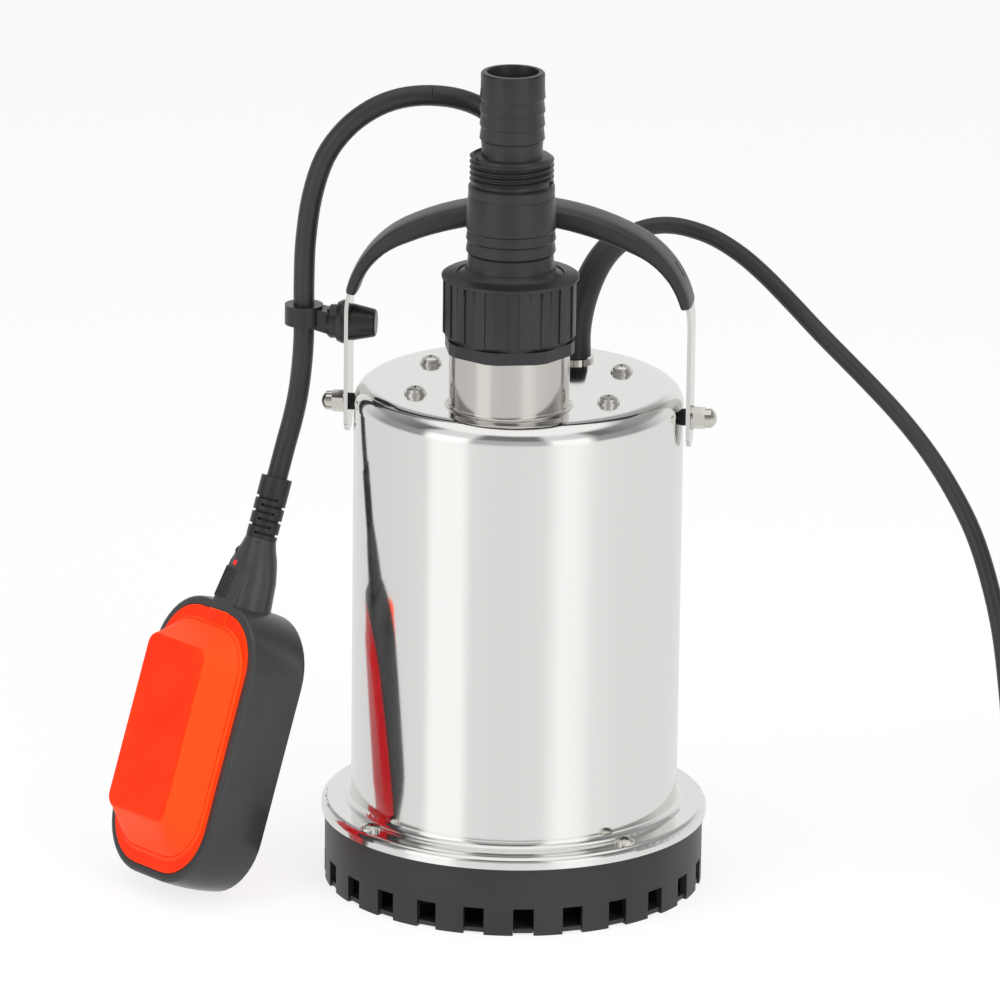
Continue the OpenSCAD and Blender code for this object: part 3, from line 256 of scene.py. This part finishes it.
def finish_piece(name, shape, material, sharp=35):
    """Turns a bmesh into a linked object: doubles merged, faces outwards, smooth up to the sharp angle."""
    bmesh.ops.remove_doubles(shape, verts=shape.verts, dist=0.005 * mm)
    bmesh.ops.recalc_face_normals(shape, faces=shape.faces)
    mesh = bpy.data.meshes.new(name)
    shape.to_mesh(mesh)
    shape.free()
    mesh.shade_smooth()
    mesh.set_sharp_from_angle(angle=math.radians(sharp))
    mesh.materials.append(material)
    made = bpy.data.objects.new(name, mesh)
    bpy.context.scene.collection.objects.link(made)
    return made


def profile_loop(shape, points):
    """Draws (radius, height) points in mm as a closed line in the XZ plane beside the tube's axis."""
    verts = [shape.verts.new(Vector((r, 0, z)) * mm + tube_at) for r, z in points]
    return verts + [shape.edges.new(pair) for pair in zip(verts, verts[1:] + verts[:1])]


shape = bmesh.new()
bmesh.ops.spin(shape, geom=profile_loop(shape, adapter_profile), cent=tube_at, axis=(0, 0, 1),
               angle=math.tau, steps=spin_steps, use_merge=True)
bmesh.ops.recalc_face_normals(shape, faces=shape.faces)
corners = [e for e in shape.edges if len(e.link_faces) == 2 and e.calc_face_angle() > math.radians(32)]
bmesh.ops.bevel(shape, geom=corners, offset=0.18 * mm, offset_type="OFFSET", affect="EDGES", segments=2,
                profile=0.5, material=-1, clamp_overlap=True)
bmesh.ops.spin(shape, geom=profile_loop(shape, thread_profile), cent=tube_at, axis=(0, 0, 1),
               dvec=(0, 0, thread_pitch * mm / spin_steps), angle=math.tau * thread_turns,
               steps=int(thread_turns * spin_steps), use_merge=False)
bmesh.ops.holes_fill(shape, edges=[e for e in shape.edges if e.is_boundary], sides=4)
adapter = finish_piece("hose_adapter_with_thread", shape, nut_plastic, 30)
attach(adapter, "pump")
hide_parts("hose_adapter")


# ---- Cable glands ----
# Two rubber glands, squeezed into the casing's top inside bright pressed collars.
# The mains lead leaves its gland through a tapered sleeve that keeps it from kinking.

dress(nitrile, "power_gland", "float_gland")
dress(plated, "gland_collars")


# ---- Handle ----
# A strap of the same polished stainless, bent into a bail, with a grip moulded to snap over its arch.
# Domed nuts on its two pivot studs let it fold back, on black spacers that keep it off the casing.

# Polished along the strap before it was bent
strap_steel = polished_stainless("polished_stainless_strap", "#dcdbd8", 0.12, 0.5, 0.002, (1, 0.01, 0.01))
dress(strap_steel, "handle_strap")

# The grip has the nut's polypropylene, with a slightly coarser grain for the hand
grip_plastic = moulded("moulded_grip_polypropylene", "#222223", "#2b2b2c", 0.38, 0.6, 0.02)
arch_centre, arch_radius = Vector((0, 0, 177)), 104
bend_centre, bend_radius, bend_meets_arch = Vector((28.8, 0, 234.15)), 40, 63.25
grip_half_width = 10
section_steps = 48
# The angles of the grip's sections, closer where they change fast, from its end to its middle
grip_turns = [12.1, 12.4, 13.2, 14.6, *range(18, 62, 4), 63.2, 63.3, *range(66, 90, 3)]
lock_turn = 33.4


def between(value, stops):
    """A value read off a line through (place, value) stops."""
    for (a, low_end), (b, high_end) in zip(stops, stops[1:]):
        if value <= b:
            return low_end + (high_end - low_end) * max(value - a, 0) / (b - a)
    return stops[-1][1]


def stack_loops(shape, loops, closed=False):
    """Bridges each loop of edges to the next, and the last to the first where the ring closes."""
    for lower, upper in list(zip(loops, loops[1:])) + ([(loops[-1], loops[0])] if closed else []):
        bmesh.ops.bridge_loops(shape, edges=lower + upper)


def spoke(turn):
    """The direction in the bail's plane at an angle up from its right-hand side."""
    return Vector((math.cos(math.radians(turn)), 0, math.sin(math.radians(turn))))


def soft_block(shape, matrix, edge, segments):
    """A 1 mm cube put in place and stretched by a matrix, its edges rounded."""
    made = bmesh.ops.create_cube(shape, size=mm, matrix=matrix)
    edges = list({e for v in made["verts"] for e in v.link_edges})
    bmesh.ops.bevel(shape, geom=edges, offset=edge * mm, affect="EDGES", segments=segments, profile=0.5,
                    material=-1)


def grip_loop(shape, turn):
    """One outline of the grip's section, domed above and square below, at an angle round the strap's bail."""
    side = min(turn, 180 - turn)
    up = between(side, [(12, 1.7), (40, 1.9), (70, 2.3)])
    down = between(side, [(12, 3), (30, 3.7), (45, 4.7), (60, 6), (74, 7)])
    fade = between(side, [(12.1, 0.72), (12.4, 0.88), (13.2, 0.97), (14.6, 1)])
    centre, radius = (arch_centre, arch_radius) if side > bend_meets_arch else (bend_centre, bend_radius)
    if turn > 180 - bend_meets_arch:
        centre = Vector((-centre.x, 0, centre.z))
    made = bmesh.ops.create_circle(shape, cap_ends=False, segments=section_steps, radius=1)
    middle = (up - down) / 2
    for vert in made["verts"]:
        across = grip_half_width * math.copysign(abs(vert.co.x) ** 0.62, vert.co.x)
        lift = up * vert.co.y ** 0.85 if vert.co.y > 0 else -down * abs(vert.co.y) ** 0.4
        reach = radius + middle + (lift - middle) * fade
        vert.co = (centre + spoke(turn) * reach + Vector((0, across * fade, 0))) * mm
    return list({edge for vert in made["verts"] for edge in vert.link_edges})


shape = bmesh.new()
loops = [grip_loop(shape, turn) for turn in grip_turns + [90] + [180 - turn for turn in reversed(grip_turns)]]
stack_loops(shape, loops)
bmesh.ops.holes_fill(shape, edges=loops[0] + loops[-1], sides=0)
grip = finish_piece("handle_grip_moulding", shape, grip_plastic, 40)
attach(grip, "handle")
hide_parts("handle_grip")

# The grip's two halves lock in a small slot on its shoulder, and a dark block there is painted shade for the
# slot
shape = bmesh.new()
place = (Matrix.Translation((bend_centre + spoke(lock_turn) * (bend_radius + 1.2)) * mm)
         @ Matrix.Rotation(math.radians(90 - lock_turn), 4, "Y"))
soft_block(shape, place @ Matrix.Diagonal((7, 1.5, 1.4, 1)), 0.2, 2)
slot_shade = finish_piece("handle_grip_slot_shade", shape, nitrile)
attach(slot_shade, "handle")
dress(nitrile, "pivot_spacers")
dress(plated, "pivot_bolts", "pivot_washers", "cap_nuts")


# ---- Cable clip ----
# One black nylon moulding that turns in the strap: a loop round the float's cable, a flange and a knob.
# Nylon leaves the mould glossier than polypropylene.

clip_plastic = moulded("moulded_black_nylon", "#19191a", "#202021", 0.3, 0.5, 0.008)
dress(clip_plastic, "cable_clip")


# ---- Float switch ----
# A black frame with an orange cover in front and a crimson one behind, welded on with ultrasound.
# The frame's neck ends in a slit sleeve, so that the cable bends softly as the float rises and falls.

float_at = Vector((-108.64, -14.37, 112.84)) * mm
float_turn = Euler([math.radians(a) for a in (-19.8, -3.2, -46.3)], "XYZ")
float_place = Matrix.Translation(float_at) @ float_turn.to_matrix().to_4x4()
float_w, float_l, float_half, float_corner = 70.5, 116, 13.5, 26
rim_swell, rim_edge = 0.7, 1.6
edge_steps = 5
corner_steps = 12
neck_at = Vector((3, -2.25, 0))


def rounded_loop(shape, width, length, corner, place):
    """A rounded rectangle of edges: a circle drawn as four arcs, pulled apart and put in its place."""
    made = bmesh.ops.create_circle(shape, cap_ends=False, segments=4 * corner_steps, radius=corner * mm)
    for i, vert in enumerate(made["verts"]):
        quarter, step = divmod(i, corner_steps)
        turn = math.radians(90 * (quarter + step / (corner_steps - 1)))
        right, far = ((1, 1), (-1, 1), (-1, -1), (1, -1))[quarter]
        vert.co = Vector((corner * math.cos(turn) + right * (width / 2 - corner),
                          corner * math.sin(turn) + far * (length / 2 - corner), 0)) * mm
    bmesh.ops.transform(shape, matrix=place, verts=made["verts"])
    return list({edge for vert in made["verts"] for edge in vert.link_edges})


def float_outline(shape, inset, at, width=None, length=None, corner=None, top=None):
    """One outline of the float, inset from its own and standing at a depth behind its middle."""
    width, length = width or float_w - 2 * inset, length or float_l - 2 * inset
    middle = (-inset if top is None else top) - length / 2
    place = Matrix.Translation(Vector((0, at, middle)) * mm) @ Matrix.Rotation(math.radians(90), 4, "X")
    return rounded_loop(shape, width, length, corner or float_corner - inset, place)


def on_float(shape):
    """Moves a shape from the float's own axes to where the float hangs."""
    bmesh.ops.transform(shape, matrix=float_place, verts=shape.verts)


# Black polypropylene from a smoother mould than the nut's: half gloss, and a little greyer
float_plastic = moulded("moulded_float_polypropylene", "#2d2d2e", "#373738", 0.27, 0.5, 0.008, 90.0)

# Its side swells a little between the two rims
shape = bmesh.new()
rim = []
for side in (-1, 1):
    arcs = [(rim_swell + rim_edge * (1 - math.sin(a)), float_half - rim_edge * (1 - math.cos(a)))
            for a in (math.radians(90 / edge_steps * i) for i in range(edge_steps + 1))]
    swell = [(rim_swell * (at / (float_half - rim_edge)) ** 2, at) for at in (10.6, 8, 5, 2)]
    steps_in = [(4.3, float_half - 1.5), (4.3, float_half - 0.25), (4.05, float_half - 0.03)] + arcs + swell
    rim += [(inset, side * at) for inset, at in (steps_in if side < 0 else reversed(steps_in))]
rim += [(6.5, float_half - 1.5), (6.4, 1.5 - float_half)]
stack_loops(shape, [float_outline(shape, inset, at) for inset, at in rim], closed=True)

# The neck rises from the frame's top and narrows to the sleeve
neck = []
for width, depth, corner, height in (
        (24.5, 19.5, 8.6, -4.5), (24.5, 19.5, 8.6, -0.9), (23.8, 19, 8.5, 0.4), (22, 17.8, 8, 11.5),
        (19.2, 16.4, 7.5, 17.6), (17.8, 15.5, 7.2, 20.2), (14.6, 13.6, 6.4, 24), (12.9, 12.9, 6.3, 26.6),
        (12.6, 12.6, 6.28, 27.6), (12, 12, 5.99, 28)):
    place = Matrix.Translation((neck_at + Vector((0, 0, height))) * mm)
    neck.append(rounded_loop(shape, width, depth, corner, place))
stack_loops(shape, neck)
bmesh.ops.holes_fill(shape, edges=neck[0] + neck[-1], sides=0)

# A flat spine, flush with the frame's face, climbs the neck's front and carries the ribs
spine_x, spine_depth = 3.3, 8
spine = []
for width, front, corner, height in (
        (13.4, -13.54, 0.8, -6), (13.4, -13.54, 0.8, -0.6), (13.3, -13.3, 0.8, 0.6), (13, -10.2, 0.8, 16.4),
        (12.6, -9.7, 1, 18.2), (9.6, -6.6, 1.6, 24.6), (9, -5.4, 1.6, 26)):
    place = Matrix.Translation(Vector((spine_x, front + spine_depth / 2, height)) * mm)
    spine.append(rounded_loop(shape, width, spine_depth, corner, place))
stack_loops(shape, spine)
bmesh.ops.holes_fill(shape, edges=spine[0] + spine[-1], sides=0)
rib_count, rib_pitch = 5, 1.5
spine_lean = Matrix.Rotation(-math.atan2(3.1, 15.8), 4, "X")
for i in range(rib_count):
    place = Matrix.Translation(Vector((-2.7 + rib_pitch * i, -11.95, 7.5)) * mm) @ spine_lean
    soft_block(shape, place @ Matrix.Diagonal((0.6, 1, 13, 1)), 0.18, 2)
on_float(shape)
float_body = finish_piece("float_frame_moulding", shape, float_plastic, 40)
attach(float_body, "float")
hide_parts("float_frame")

# Orange polypropylene: saturated, half gloss, faintly clouded where the melt met in the mould.
# Its sloping walls are painted paler than the flat front and ledge: painted light, for the stronger light
# that falls on them.
orange_and_slope_light = moulded("moulded_orange_polypropylene_painted_slope_light", "#f92b02", "#fd3503", 0.42, 0.6, 0.006, 22.0, 0.12)
# A colour Mix node numbers its two colours and its result
first_colour, second_colour, mixed_colour = 6, 7, 2
tree = orange_and_slope_light.node_tree
surface = next(node for node in tree.nodes if node.type == "BSDF_PRINCIPLED")
cloud = surface.inputs["Base Color"].links[0].from_socket
# Painted light: the further a face turns from the front, the paler the orange it is given
faces_front = add(tree, "VectorMath", {0: add(tree, "TexCoord").outputs["Normal"],
                                       1: float_place.to_3x3() @ Vector((0, -1, 0))}, operation="DOT_PRODUCT")
slope_light_share = add(tree, "MapRange", {"Value": faces_front.outputs["Value"], "From Min": 0.97, "From Max": 0.78})
painted_slope_light = add(tree, "Mix", {"Factor": slope_light_share.outputs["Result"], first_colour: cloud,
                          second_colour: linear("#ff4613")}, data_type="RGBA")
tree.links.new(painted_slope_light.outputs[mixed_colour], surface.inputs["Base Color"])
# Red polypropylene of the rear cover, a shade towards crimson
crimson_plastic = moulded("moulded_crimson_polypropylene", "#ee1a26", "#f5222e", 0.34, 0.6, 0.008, 22.0, 0.4)


# A cover's slopes rise from the ledge to a flat plateau; each has its width, length and top edge
cover_lap, ledge_side, ledge_top = 4.45, 5.95, 9.45
ledge = float_w - 2 * ledge_side, float_l - 2 * ledge_top, -ledge_top
plateau = 39, 70.7, -20
ledge_corner, plateau_corner = 20, 4


def cover_loops(shape, height):
    """The loops of a cover, in front of the frame, from its rim to its top."""
    loops = [float_outline(shape, cover_lap + inset, -float_half - at)
             for inset, at in ((0, -1.4), (0, 0.15), (0.08, 0.3), (0.25, 0.4), (0.55, 0.42))]
    for share, rise in ((-0.08, 0.45), (-0.03, 0.5), (0.0, 0.65), (0.03, 1.0), (0.06, 1.5),
                        (0.12, 0.12 * height), (0.86, 0.86 * height), (0.92, height - 0.75),
                        (0.96, height - 0.25), (1.0, height - 0.06), (1.03, height - 0.02), (1.1, height)):
        width, length, top = (a + share * (b - a) for a, b in zip(ledge, plateau))
        corner = ledge_corner + min(share, 1.0) * (plateau_corner - ledge_corner)
        loops.append(float_outline(shape, 0, -float_half - rise, width, length, corner, top))
    return loops


for name, node, material, slot, height, facing in (
        ("float_cover_front", "float_front_cover", orange_and_slope_light, "float_orange", 13.6, 1),
        ("float_cover_rear", "float_rear_cover", crimson_plastic, "float_crimson", 6, -1)):
    shape = bmesh.new()
    loops = cover_loops(shape, height)
    stack_loops(shape, loops)
    bmesh.ops.holes_fill(shape, edges=loops[0] + loops[-1], sides=0)
    if facing > 0:
        # The tab that carries the spine's line down over the cover's ledge
        place = Matrix.Translation(Vector((spine_x, -12.6, -7.2)) * mm)
        soft_block(shape, place @ Matrix.Diagonal((13.2, 3.6, 6.4, 1)), 0.7, 3)
    bmesh.ops.scale(shape, vec=(1, facing, 1), verts=shape.verts)
    on_float(shape)
    cover = finish_piece(name, shape, material, 24)
    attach(cover, "float")
    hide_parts(node)

# The sleeve is an over-moulding of soft rubber; the ballast is cast
sleeve_rubber = moulded("overmoulded_sleeve_rubber", "#1d1d1f", "#252527", 0.4, 0.5, 0.01)
dress(sleeve_rubber, "float_sleeve")
dress(cast_aluminium, "float_ballast")

# A dark core stands for the cable's jacket in the sleeve and is darker than the jacket: partly the real
# cable, partly painted shade at the bottom of its slits
core_r, core_l, core_middle = 5.15 * mm, 24.6 * mm, Vector((0, 0, 40.5))
shape = bmesh.new()
bmesh.ops.create_cone(shape, cap_ends=True, segments=40, radius1=core_r, radius2=core_r, depth=core_l,
                      matrix=Matrix.Translation((neck_at + core_middle) * mm))
on_float(shape)
slit_shade_core = finish_piece("float_sleeve_core_slit_shade", shape, nitrile)
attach(slit_shade_core, "float")

# Blue ABS of the microswitch inside
blue_abs = moulded("moulded_blue_abs", "#2b4a98", "#3558ac", 0.35, 0.5, 0.01)
dress(blue_abs, "float_microswitch")

# A red inspection dot stands on the neck's spine, and above it a dark disc is painted shade for a screw
# pocket
shape = bmesh.new()
bmesh.ops.create_uvsphere(shape, u_segments=20, v_segments=12, radius=1.4 * mm,
                          matrix=Matrix.Translation(Vector((1.4, -9.9, 15.8)) * mm))
on_float(shape)
dot = finish_piece("float_inspection_dot", shape, crimson_plastic)
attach(dot, "float")

shape = bmesh.new()
bmesh.ops.create_cone(shape, cap_ends=True, segments=32, radius1=1.9 * mm, radius2=1.9 * mm, depth=1.6 * mm,
                      matrix=Matrix.Translation(Vector((-0.2, -8.55, 21.1)) * mm)
                      @ Matrix.Rotation(math.radians(90 - 26), 4, "X"))
on_float(shape)
pocket_shade_disc = finish_piece("float_screw_pocket_shade", shape, nitrile)
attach(pocket_shade_disc, "float")


# ---- Float cable ----
# Neoprene-jacketed cable, extruded round its cores, from its gland over the handle and down to the float.
# The clip's loop holds it, and the length below the clip sets the level at which the pump starts.

# Neoprene jacket: dark grey, with a soft light along its back
jacket = moulded("extruded_neoprene_jacket", "#1f1f20", "#272728", 0.36, 0.6, 0.01)


def eased(points, steps):
    """A smooth line through a route's points, each stretch cut into steps."""
    line = [Vector(p) * mm for p in points]
    padded = [2 * line[0] - line[1], *line, 2 * line[-1] - line[-2]]
    made = []
    for a, b, c, d in zip(padded, padded[1:], padded[2:], padded[3:]):
        for i in range(steps):
            t = i / steps
            made.append(0.5 * (2 * b + (c - a) * t + (2 * a - 5 * b + 4 * c - d) * t ** 2
                               + (3 * b - a - 3 * c + d) * t ** 3))
    return [*made, line[-1]]


def tube(name, line, diameter, material, thickness=None):
    """A round tube along a line, as a mesh; thickness gives a factor for each point."""
    curve = bpy.data.curves.new(name, "CURVE")
    curve.dimensions = "3D"
    curve.bevel_depth = diameter / 2
    curve.bevel_resolution = 6
    curve.use_fill_caps = True
    spline = curve.splines.new("POLY")
    spline.points.add(len(line) - 1)
    for i, (point, place) in enumerate(zip(spline.points, line)):
        point.co = (*place, 1)
        point.radius = thickness[i] if thickness else 1
    holder = bpy.data.objects.new(name + "_line", curve)
    bpy.context.scene.collection.objects.link(holder)
    mesh = bpy.data.meshes.new_from_object(holder.evaluated_get(bpy.context.evaluated_depsgraph_get()))
    bpy.data.objects.remove(holder)
    bpy.data.curves.remove(curve)
    mesh.name = name
    mesh.shade_smooth()
    mesh.set_sharp_from_angle(angle=math.radians(50))
    mesh.materials.clear()
    mesh.materials.append(material)
    made = bpy.data.objects.new(name, mesh)
    bpy.context.scene.collection.objects.link(made)
    return made


over_handle = [(1, 37, 200), (1, 37, 209), (1, 37, 219), (2, 37, 236), (3, 35, 253), (3, 32, 270),
               (0, 28, 287), (-6, 24, 302), (-16, 18.6, 313), (-26, 13.8, 318.8), (-38, 10, 321)]
to_clip = [(-38, 10, 321), (-50, 7, 320), (-61, 5, 315.5), (-71, 3.2, 307.5), (-79, 1.6, 296),
           (-84, 0.6, 280), (-86.4, 0, 262), (-87, 0, 246), (-87, 0, 231.5)]
below_clip = [(-87, 0, 231.5), (-87, 0, 226), (-87.1, 0.1, 220), (-87.9, 0.8, 209.5), (-89.4, 1.7, 198),
              (-91.6, 1.7, 187), (-94, 0.4, 177.3), (-96.03, -2.19, 168.25), (-97.07, -3.55, 163.56),
              (-98.64, -5.59, 156.51)]
float_route = eased(over_handle + to_clip[1:] + below_clip[1:], 4)
float_cable_d = 8.4 * mm
cuts = [0, 4 * (len(over_handle) - 1), 4 * (len(over_handle) + len(to_clip) - 2), len(float_route) - 1]
stretches = [("float_cable_over_handle", "float_cable_rear", "pump", "handle"),
             ("float_cable_to_clip", "float_cable_front", "handle", "clip"),
             ("float_cable_below_clip", "float_lead", "clip", "float")]
for (name, node, held, led), first, last in zip(stretches, cuts, cuts[1:]):
    line = float_route[first:last + 1]
    piece = tube(name, line, float_cable_d, jacket)
    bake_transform(piece)
    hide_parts(node)


# ---- Mains lead ----
# Ten metres of neoprene-jacketed cable with its plug; what isn't in use lies coiled and tied on the floor.
# A tapered rubber sleeve stands on its gland, and the plug is moulded on its end round two pins.

lead_d = 7 * mm
power_route = [(18, 38, 200), (18, 38, 209), (18, 38, 217.5), (19, 39.3, 225.8), (21, 41.7, 234),
               (24, 45, 241.8), (27.7, 48.5, 248), (32.4, 51.8, 252.8), (38.2, 54.7, 256.2),
               (45, 56.9, 258.4), (52.5, 58.6, 259), (60.9, 59.6, 257.7), (71.2, 59.6, 254.3),
               (82.2, 58.5, 248.1), (92.7, 56.1, 240.2), (104, 51.5, 230.7), (117.3, 44.3, 219.7),
               (138, 32.3, 203.8), (151.7, 23, 192.9), (164, 13, 181.5), (174.5, 4, 169), (183.5, -4, 155),
               (190.5, -10.5, 138), (196, -15, 118), (199.5, -18, 96), (202, -20, 75), (205, -21.5, 55),
               (210, -23, 37), (218, -24.5, 21), (230, -25, 10.5), (246, -25.5, 6), (262, -25.5, 5),
               (283, -25.5, 5)]
plug_route = [(283, 141.75, 27.5), (273.5, 140.9, 28.3), (263, 137.9, 31), (253.5, 131.6, 35.7),
              (246.5, 122, 41), (242, 111.5, 46.1), (240.4, 101.5, 49.4), (240, 93.5, 50.5),
              (240, 82.5, 50.5)]
coil_at = 290, 60
coil_turns = 23.5
coil_steps = 40
half_layer = 6
inner_reach, turn_pitch, first_height, climb_turns = 40.5, 7.5, 5, 0.5


def coil_point(t):
    """The coil's centre line after t turns: it spirals in and out, and climbs a layer where it turns back."""
    phase = t % (2 * half_layer)
    reach = inner_reach + turn_pitch * abs(half_layer - phase)
    climbs = sum(min(max((t - at * half_layer + climb_turns / 2) / climb_turns, 0), 1) for at in (1, 2, 3))
    turn = math.radians(360 * t - 90)
    return (coil_at[0] + reach * math.cos(turn), coil_at[1] + reach * math.sin(turn),
            first_height + turn_pitch * climbs)


coil = [Vector(coil_point(i / coil_steps)) * mm for i in range(int(coil_turns * coil_steps) + 1)]
power_line = eased(power_route, 4) + coil + eased(plug_route, 4)
mains_lead = tube("mains_lead", power_line, lead_d, jacket)
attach(mains_lead, "pump")
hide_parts("power_cable", "cable_coil", "plug_lead")
# The coil would stand in the barrel's mirror as a dark block, so mirrors leave it out
for hidden in (mains_lead, nodes["cable_ties"], nodes["power_plug"], nodes["plug_pins"]):
    hidden.visible_glossy = False

# The strain relief's line is the lead's own from just above the collar, as far as its length lets it
relief_foot = Vector((18, 38, 208.6)) * mm
relief_l, relief_d, relief_thins_by = 54 * mm, 12.6 * mm, 0.16
relief_line = [relief_foot] + [p for p in power_line if relief_foot.z + 0.9 * mm < p.z]
relief_run = [0.0]
for a, b in zip(relief_line, relief_line[1:]):
    relief_run.append(relief_run[-1] + (b - a).length)
relief_run = [s for s in relief_run if s < relief_l]
taper = [1.0 - relief_thins_by * s / relief_run[-1] for s in relief_run]
relief = tube("lead_strain_relief", relief_line[:len(relief_run)], relief_d, sleeve_rubber, taper)
relief.visible_glossy = False
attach(relief, "pump")

# Plug of soft PVC with plated pins, and ties of the clip's black nylon
plug_pvc = moulded("moulded_plug_pvc", "#1c1c1e", "#242426", 0.4, 0.5, 0.01)
dress(plug_pvc, "power_plug")
dress(plated, "plug_pins")
dress(clip_plastic, "cable_ties")


# ---- Studio ----
# A plain white floor, two tall soft lamps in front, one overhead, and a pale room all round.
# The steel mirrors a room of its own, so that its bright bands come from tall white cards.

def look_from(azimuth, elevation, roll, distance, target, lens):
    """The camera, turned about its target; azimuth 0 looks along +Y."""
    a, e, r = (math.radians(v) for v in (azimuth, elevation, roll))
    back = Vector((math.sin(a) * math.cos(e), -math.cos(a) * math.cos(e), math.sin(e)))
    right = Vector((math.cos(a), math.sin(a), 0))
    up = back.cross(right)
    side, top = right * math.cos(r) + up * math.sin(r), up * math.cos(r) - right * math.sin(r)
    camera = bpy.data.cameras.new("camera")
    camera.lens = lens
    camera.sensor_width = 36
    camera.clip_end = 50
    holder = bpy.data.objects.new("camera", camera)
    bpy.context.scene.collection.objects.link(holder)
    turn = Matrix((side, top, back)).transposed().to_4x4()
    holder.matrix_world = Matrix.Translation(Vector(target) + back * distance) @ turn
    bpy.context.scene.camera = holder


look_from(azimuth=7.247, elevation=16.953, roll=0.707, distance=3.3,
          target=(-0.00697, -0.00089, 0.15793), lens=296.24)

shape = bmesh.new()
bmesh.ops.create_grid(shape, x_segments=1, y_segments=1, size=20)
floor_mesh = bpy.data.meshes.new("floor")
shape.to_mesh(floor_mesh)
shape.free()
floor = bpy.data.objects.new("floor", floor_mesh)
bpy.context.scene.collection.objects.link(floor)
floor_paint, tree = blank_material("matt_white_floor")
floor_glow = 0.8
glow = add(tree, "Emission", {"Color": linear("#ffffff"), "Strength": 1.0})
matt = add(tree, "BsdfDiffuse", {"Color": linear("#f4f4f4")})
seen = add(tree, "LightPath").outputs["Is Camera Ray"]
share = add(tree, "Math", {0: seen, 1: floor_glow}, operation="MULTIPLY")
shine(tree, add(tree, "MixShader", {"Fac": share.outputs[0], 1: matt.outputs[0], 2: glow.outputs[0]}))
floor_mesh.materials.append(floor_paint)
floor.visible_glossy = False

world = bpy.data.worlds.new("studio")
bpy.context.scene.world = world
world.use_nodes = True
world.node_tree.nodes.clear()
tree = world.node_tree


ray = add(tree, "TexCoord").outputs["Generated"]
parts = add(tree, "SeparateXYZ", {"Vector": ray})
front = add(tree, "Math", {0: parts.outputs["Y"], 1: -1.0}, operation="MULTIPLY")
angle = add(tree, "Math", {0: parts.outputs["X"], 1: front.outputs[0]}, operation="ARCTAN2")
around = add(tree, "MapRange", {"Value": angle.outputs[0], "From Min": -math.pi, "From Max": math.pi})
height = add(tree, "MapRange", {"Value": parts.outputs["Z"], "From Min": -1.0, "From Max": 1.0})


def greys_round(*stops):
    """A ramp's stops round the room from (azimuth, grey) pairs, with 0 degrees in front of the pump."""
    return [(azimuth / 360 + 0.5, (grey, grey, grey, 1)) for azimuth, grey in stops]


# The pale floor and the lower cards, as the upright steel mirrors them
low = greys_round(
    (-180, 0.84), (-120, 0.8), (-84, 0.82), (-61, 0.86), (-54, 1.14), (-32, 1.14), (-25, 0.88), (0, 0.84),
    (26, 0.88), (33, 1.02), (40, 1.13), (52, 1.08), (64, 0.92), (90, 0.86), (180, 0.84))
# The room above the horizon: pale behind, dark in front but for the two cards
high = greys_round(
    (-180, 0.9), (-130, 0.8), (-100, 0.34), (-64, 0.34), (-56, 1.3), (-30, 1.3), (-24, 0.5), (26, 0.5),
    (32, 1.2), (56, 1.2), (64, 0.36), (100, 0.36), (130, 0.8), (180, 0.9))
# Above the lamps' middle the room is dark but for the cards' upper ends
upper = greys_round(
    (-180, 0.42), (-120, 0.36), (-70, 0.16), (-60, 0.8), (-28, 0.85), (-20, 0.2), (22, 0.2), (30, 0.8),
    (58, 0.75), (68, 0.16), (120, 0.36), (180, 0.42))
# A soft lamp fills the ceiling
ceiling = greys_round((-180, 1.05), (180, 1.05))
# Each layer takes over from the one below it between two heights, where 0 is straight down and 1 straight up
mirrored = add(tree, "ValToRGB", {"Fac": around.outputs[0]}, low).outputs[0]
for layer, start, end in ((high, 0.46, 0.53), (upper, 0.67, 0.75), (ceiling, 0.88, 0.93)):
    greys = add(tree, "ValToRGB", {"Fac": around.outputs[0]}, layer)
    rise = add(tree, "ValToRGB", {"Fac": height.outputs[0]}, [(start, (0, 0, 0, 1)), (end, (1, 1, 1, 1))])
    mirrored = add(tree, "Mix", {"Factor": rise.outputs[0], first_colour: mirrored,
                                 second_colour: greys.outputs[0]}, data_type="RGBA").outputs[mixed_colour]

path = add(tree, "LightPath")
room_light, backdrop_light = 0.65, 0.95
room = add(tree, "Background", {"Color": linear("#ffffff"), "Strength": room_light})
backdrop = add(tree, "Background", {"Color": linear("#ffffff"), "Strength": backdrop_light})
cards = add(tree, "Background", {"Color": mirrored, "Strength": 1.0})
to_camera = add(tree, "MixShader", {"Fac": path.outputs["Is Camera Ray"],
                                    1: room.outputs[0], 2: backdrop.outputs[0]})
to_mirrors = add(tree, "MixShader", {"Fac": path.outputs["Is Glossy Ray"],
                                     1: to_camera.outputs[0], 2: cards.outputs[0]})
add(tree, "OutputWorld", {"Surface": to_mirrors.outputs[0]})


lamp_aim = Vector((0, 0, 0.15))


def softbox(name, azimuth, elevation, distance, size, power):
    """A rectangular soft lamp that faces the pump, left out of mirrors because the room has its card."""
    a, e = math.radians(azimuth), math.radians(elevation)
    out = Vector((math.sin(a) * math.cos(e), -math.cos(a) * math.cos(e), math.sin(e)))
    lamp = bpy.data.lights.new(name, "AREA")
    lamp.shape = "RECTANGLE"
    lamp.size, lamp.size_y = size
    lamp.energy = power
    holder = bpy.data.objects.new(name, lamp)
    holder.location = out * distance + lamp_aim
    holder.rotation_euler = out.to_track_quat("Z", "Y").to_euler()
    holder.visible_glossy = False
    bpy.context.scene.collection.objects.link(holder)


softbox("key_lamp", -48, 25, 1.6, (0.75, 1.8), 11)
softbox("fill_lamp", 42, 25, 1.6, (0.75, 1.8), 15)
softbox("top_lamp", 0, 80, 1.6, (1.2, 1.2), 9)

bpy.context.scene.view_settings.view_transform = "Standard"
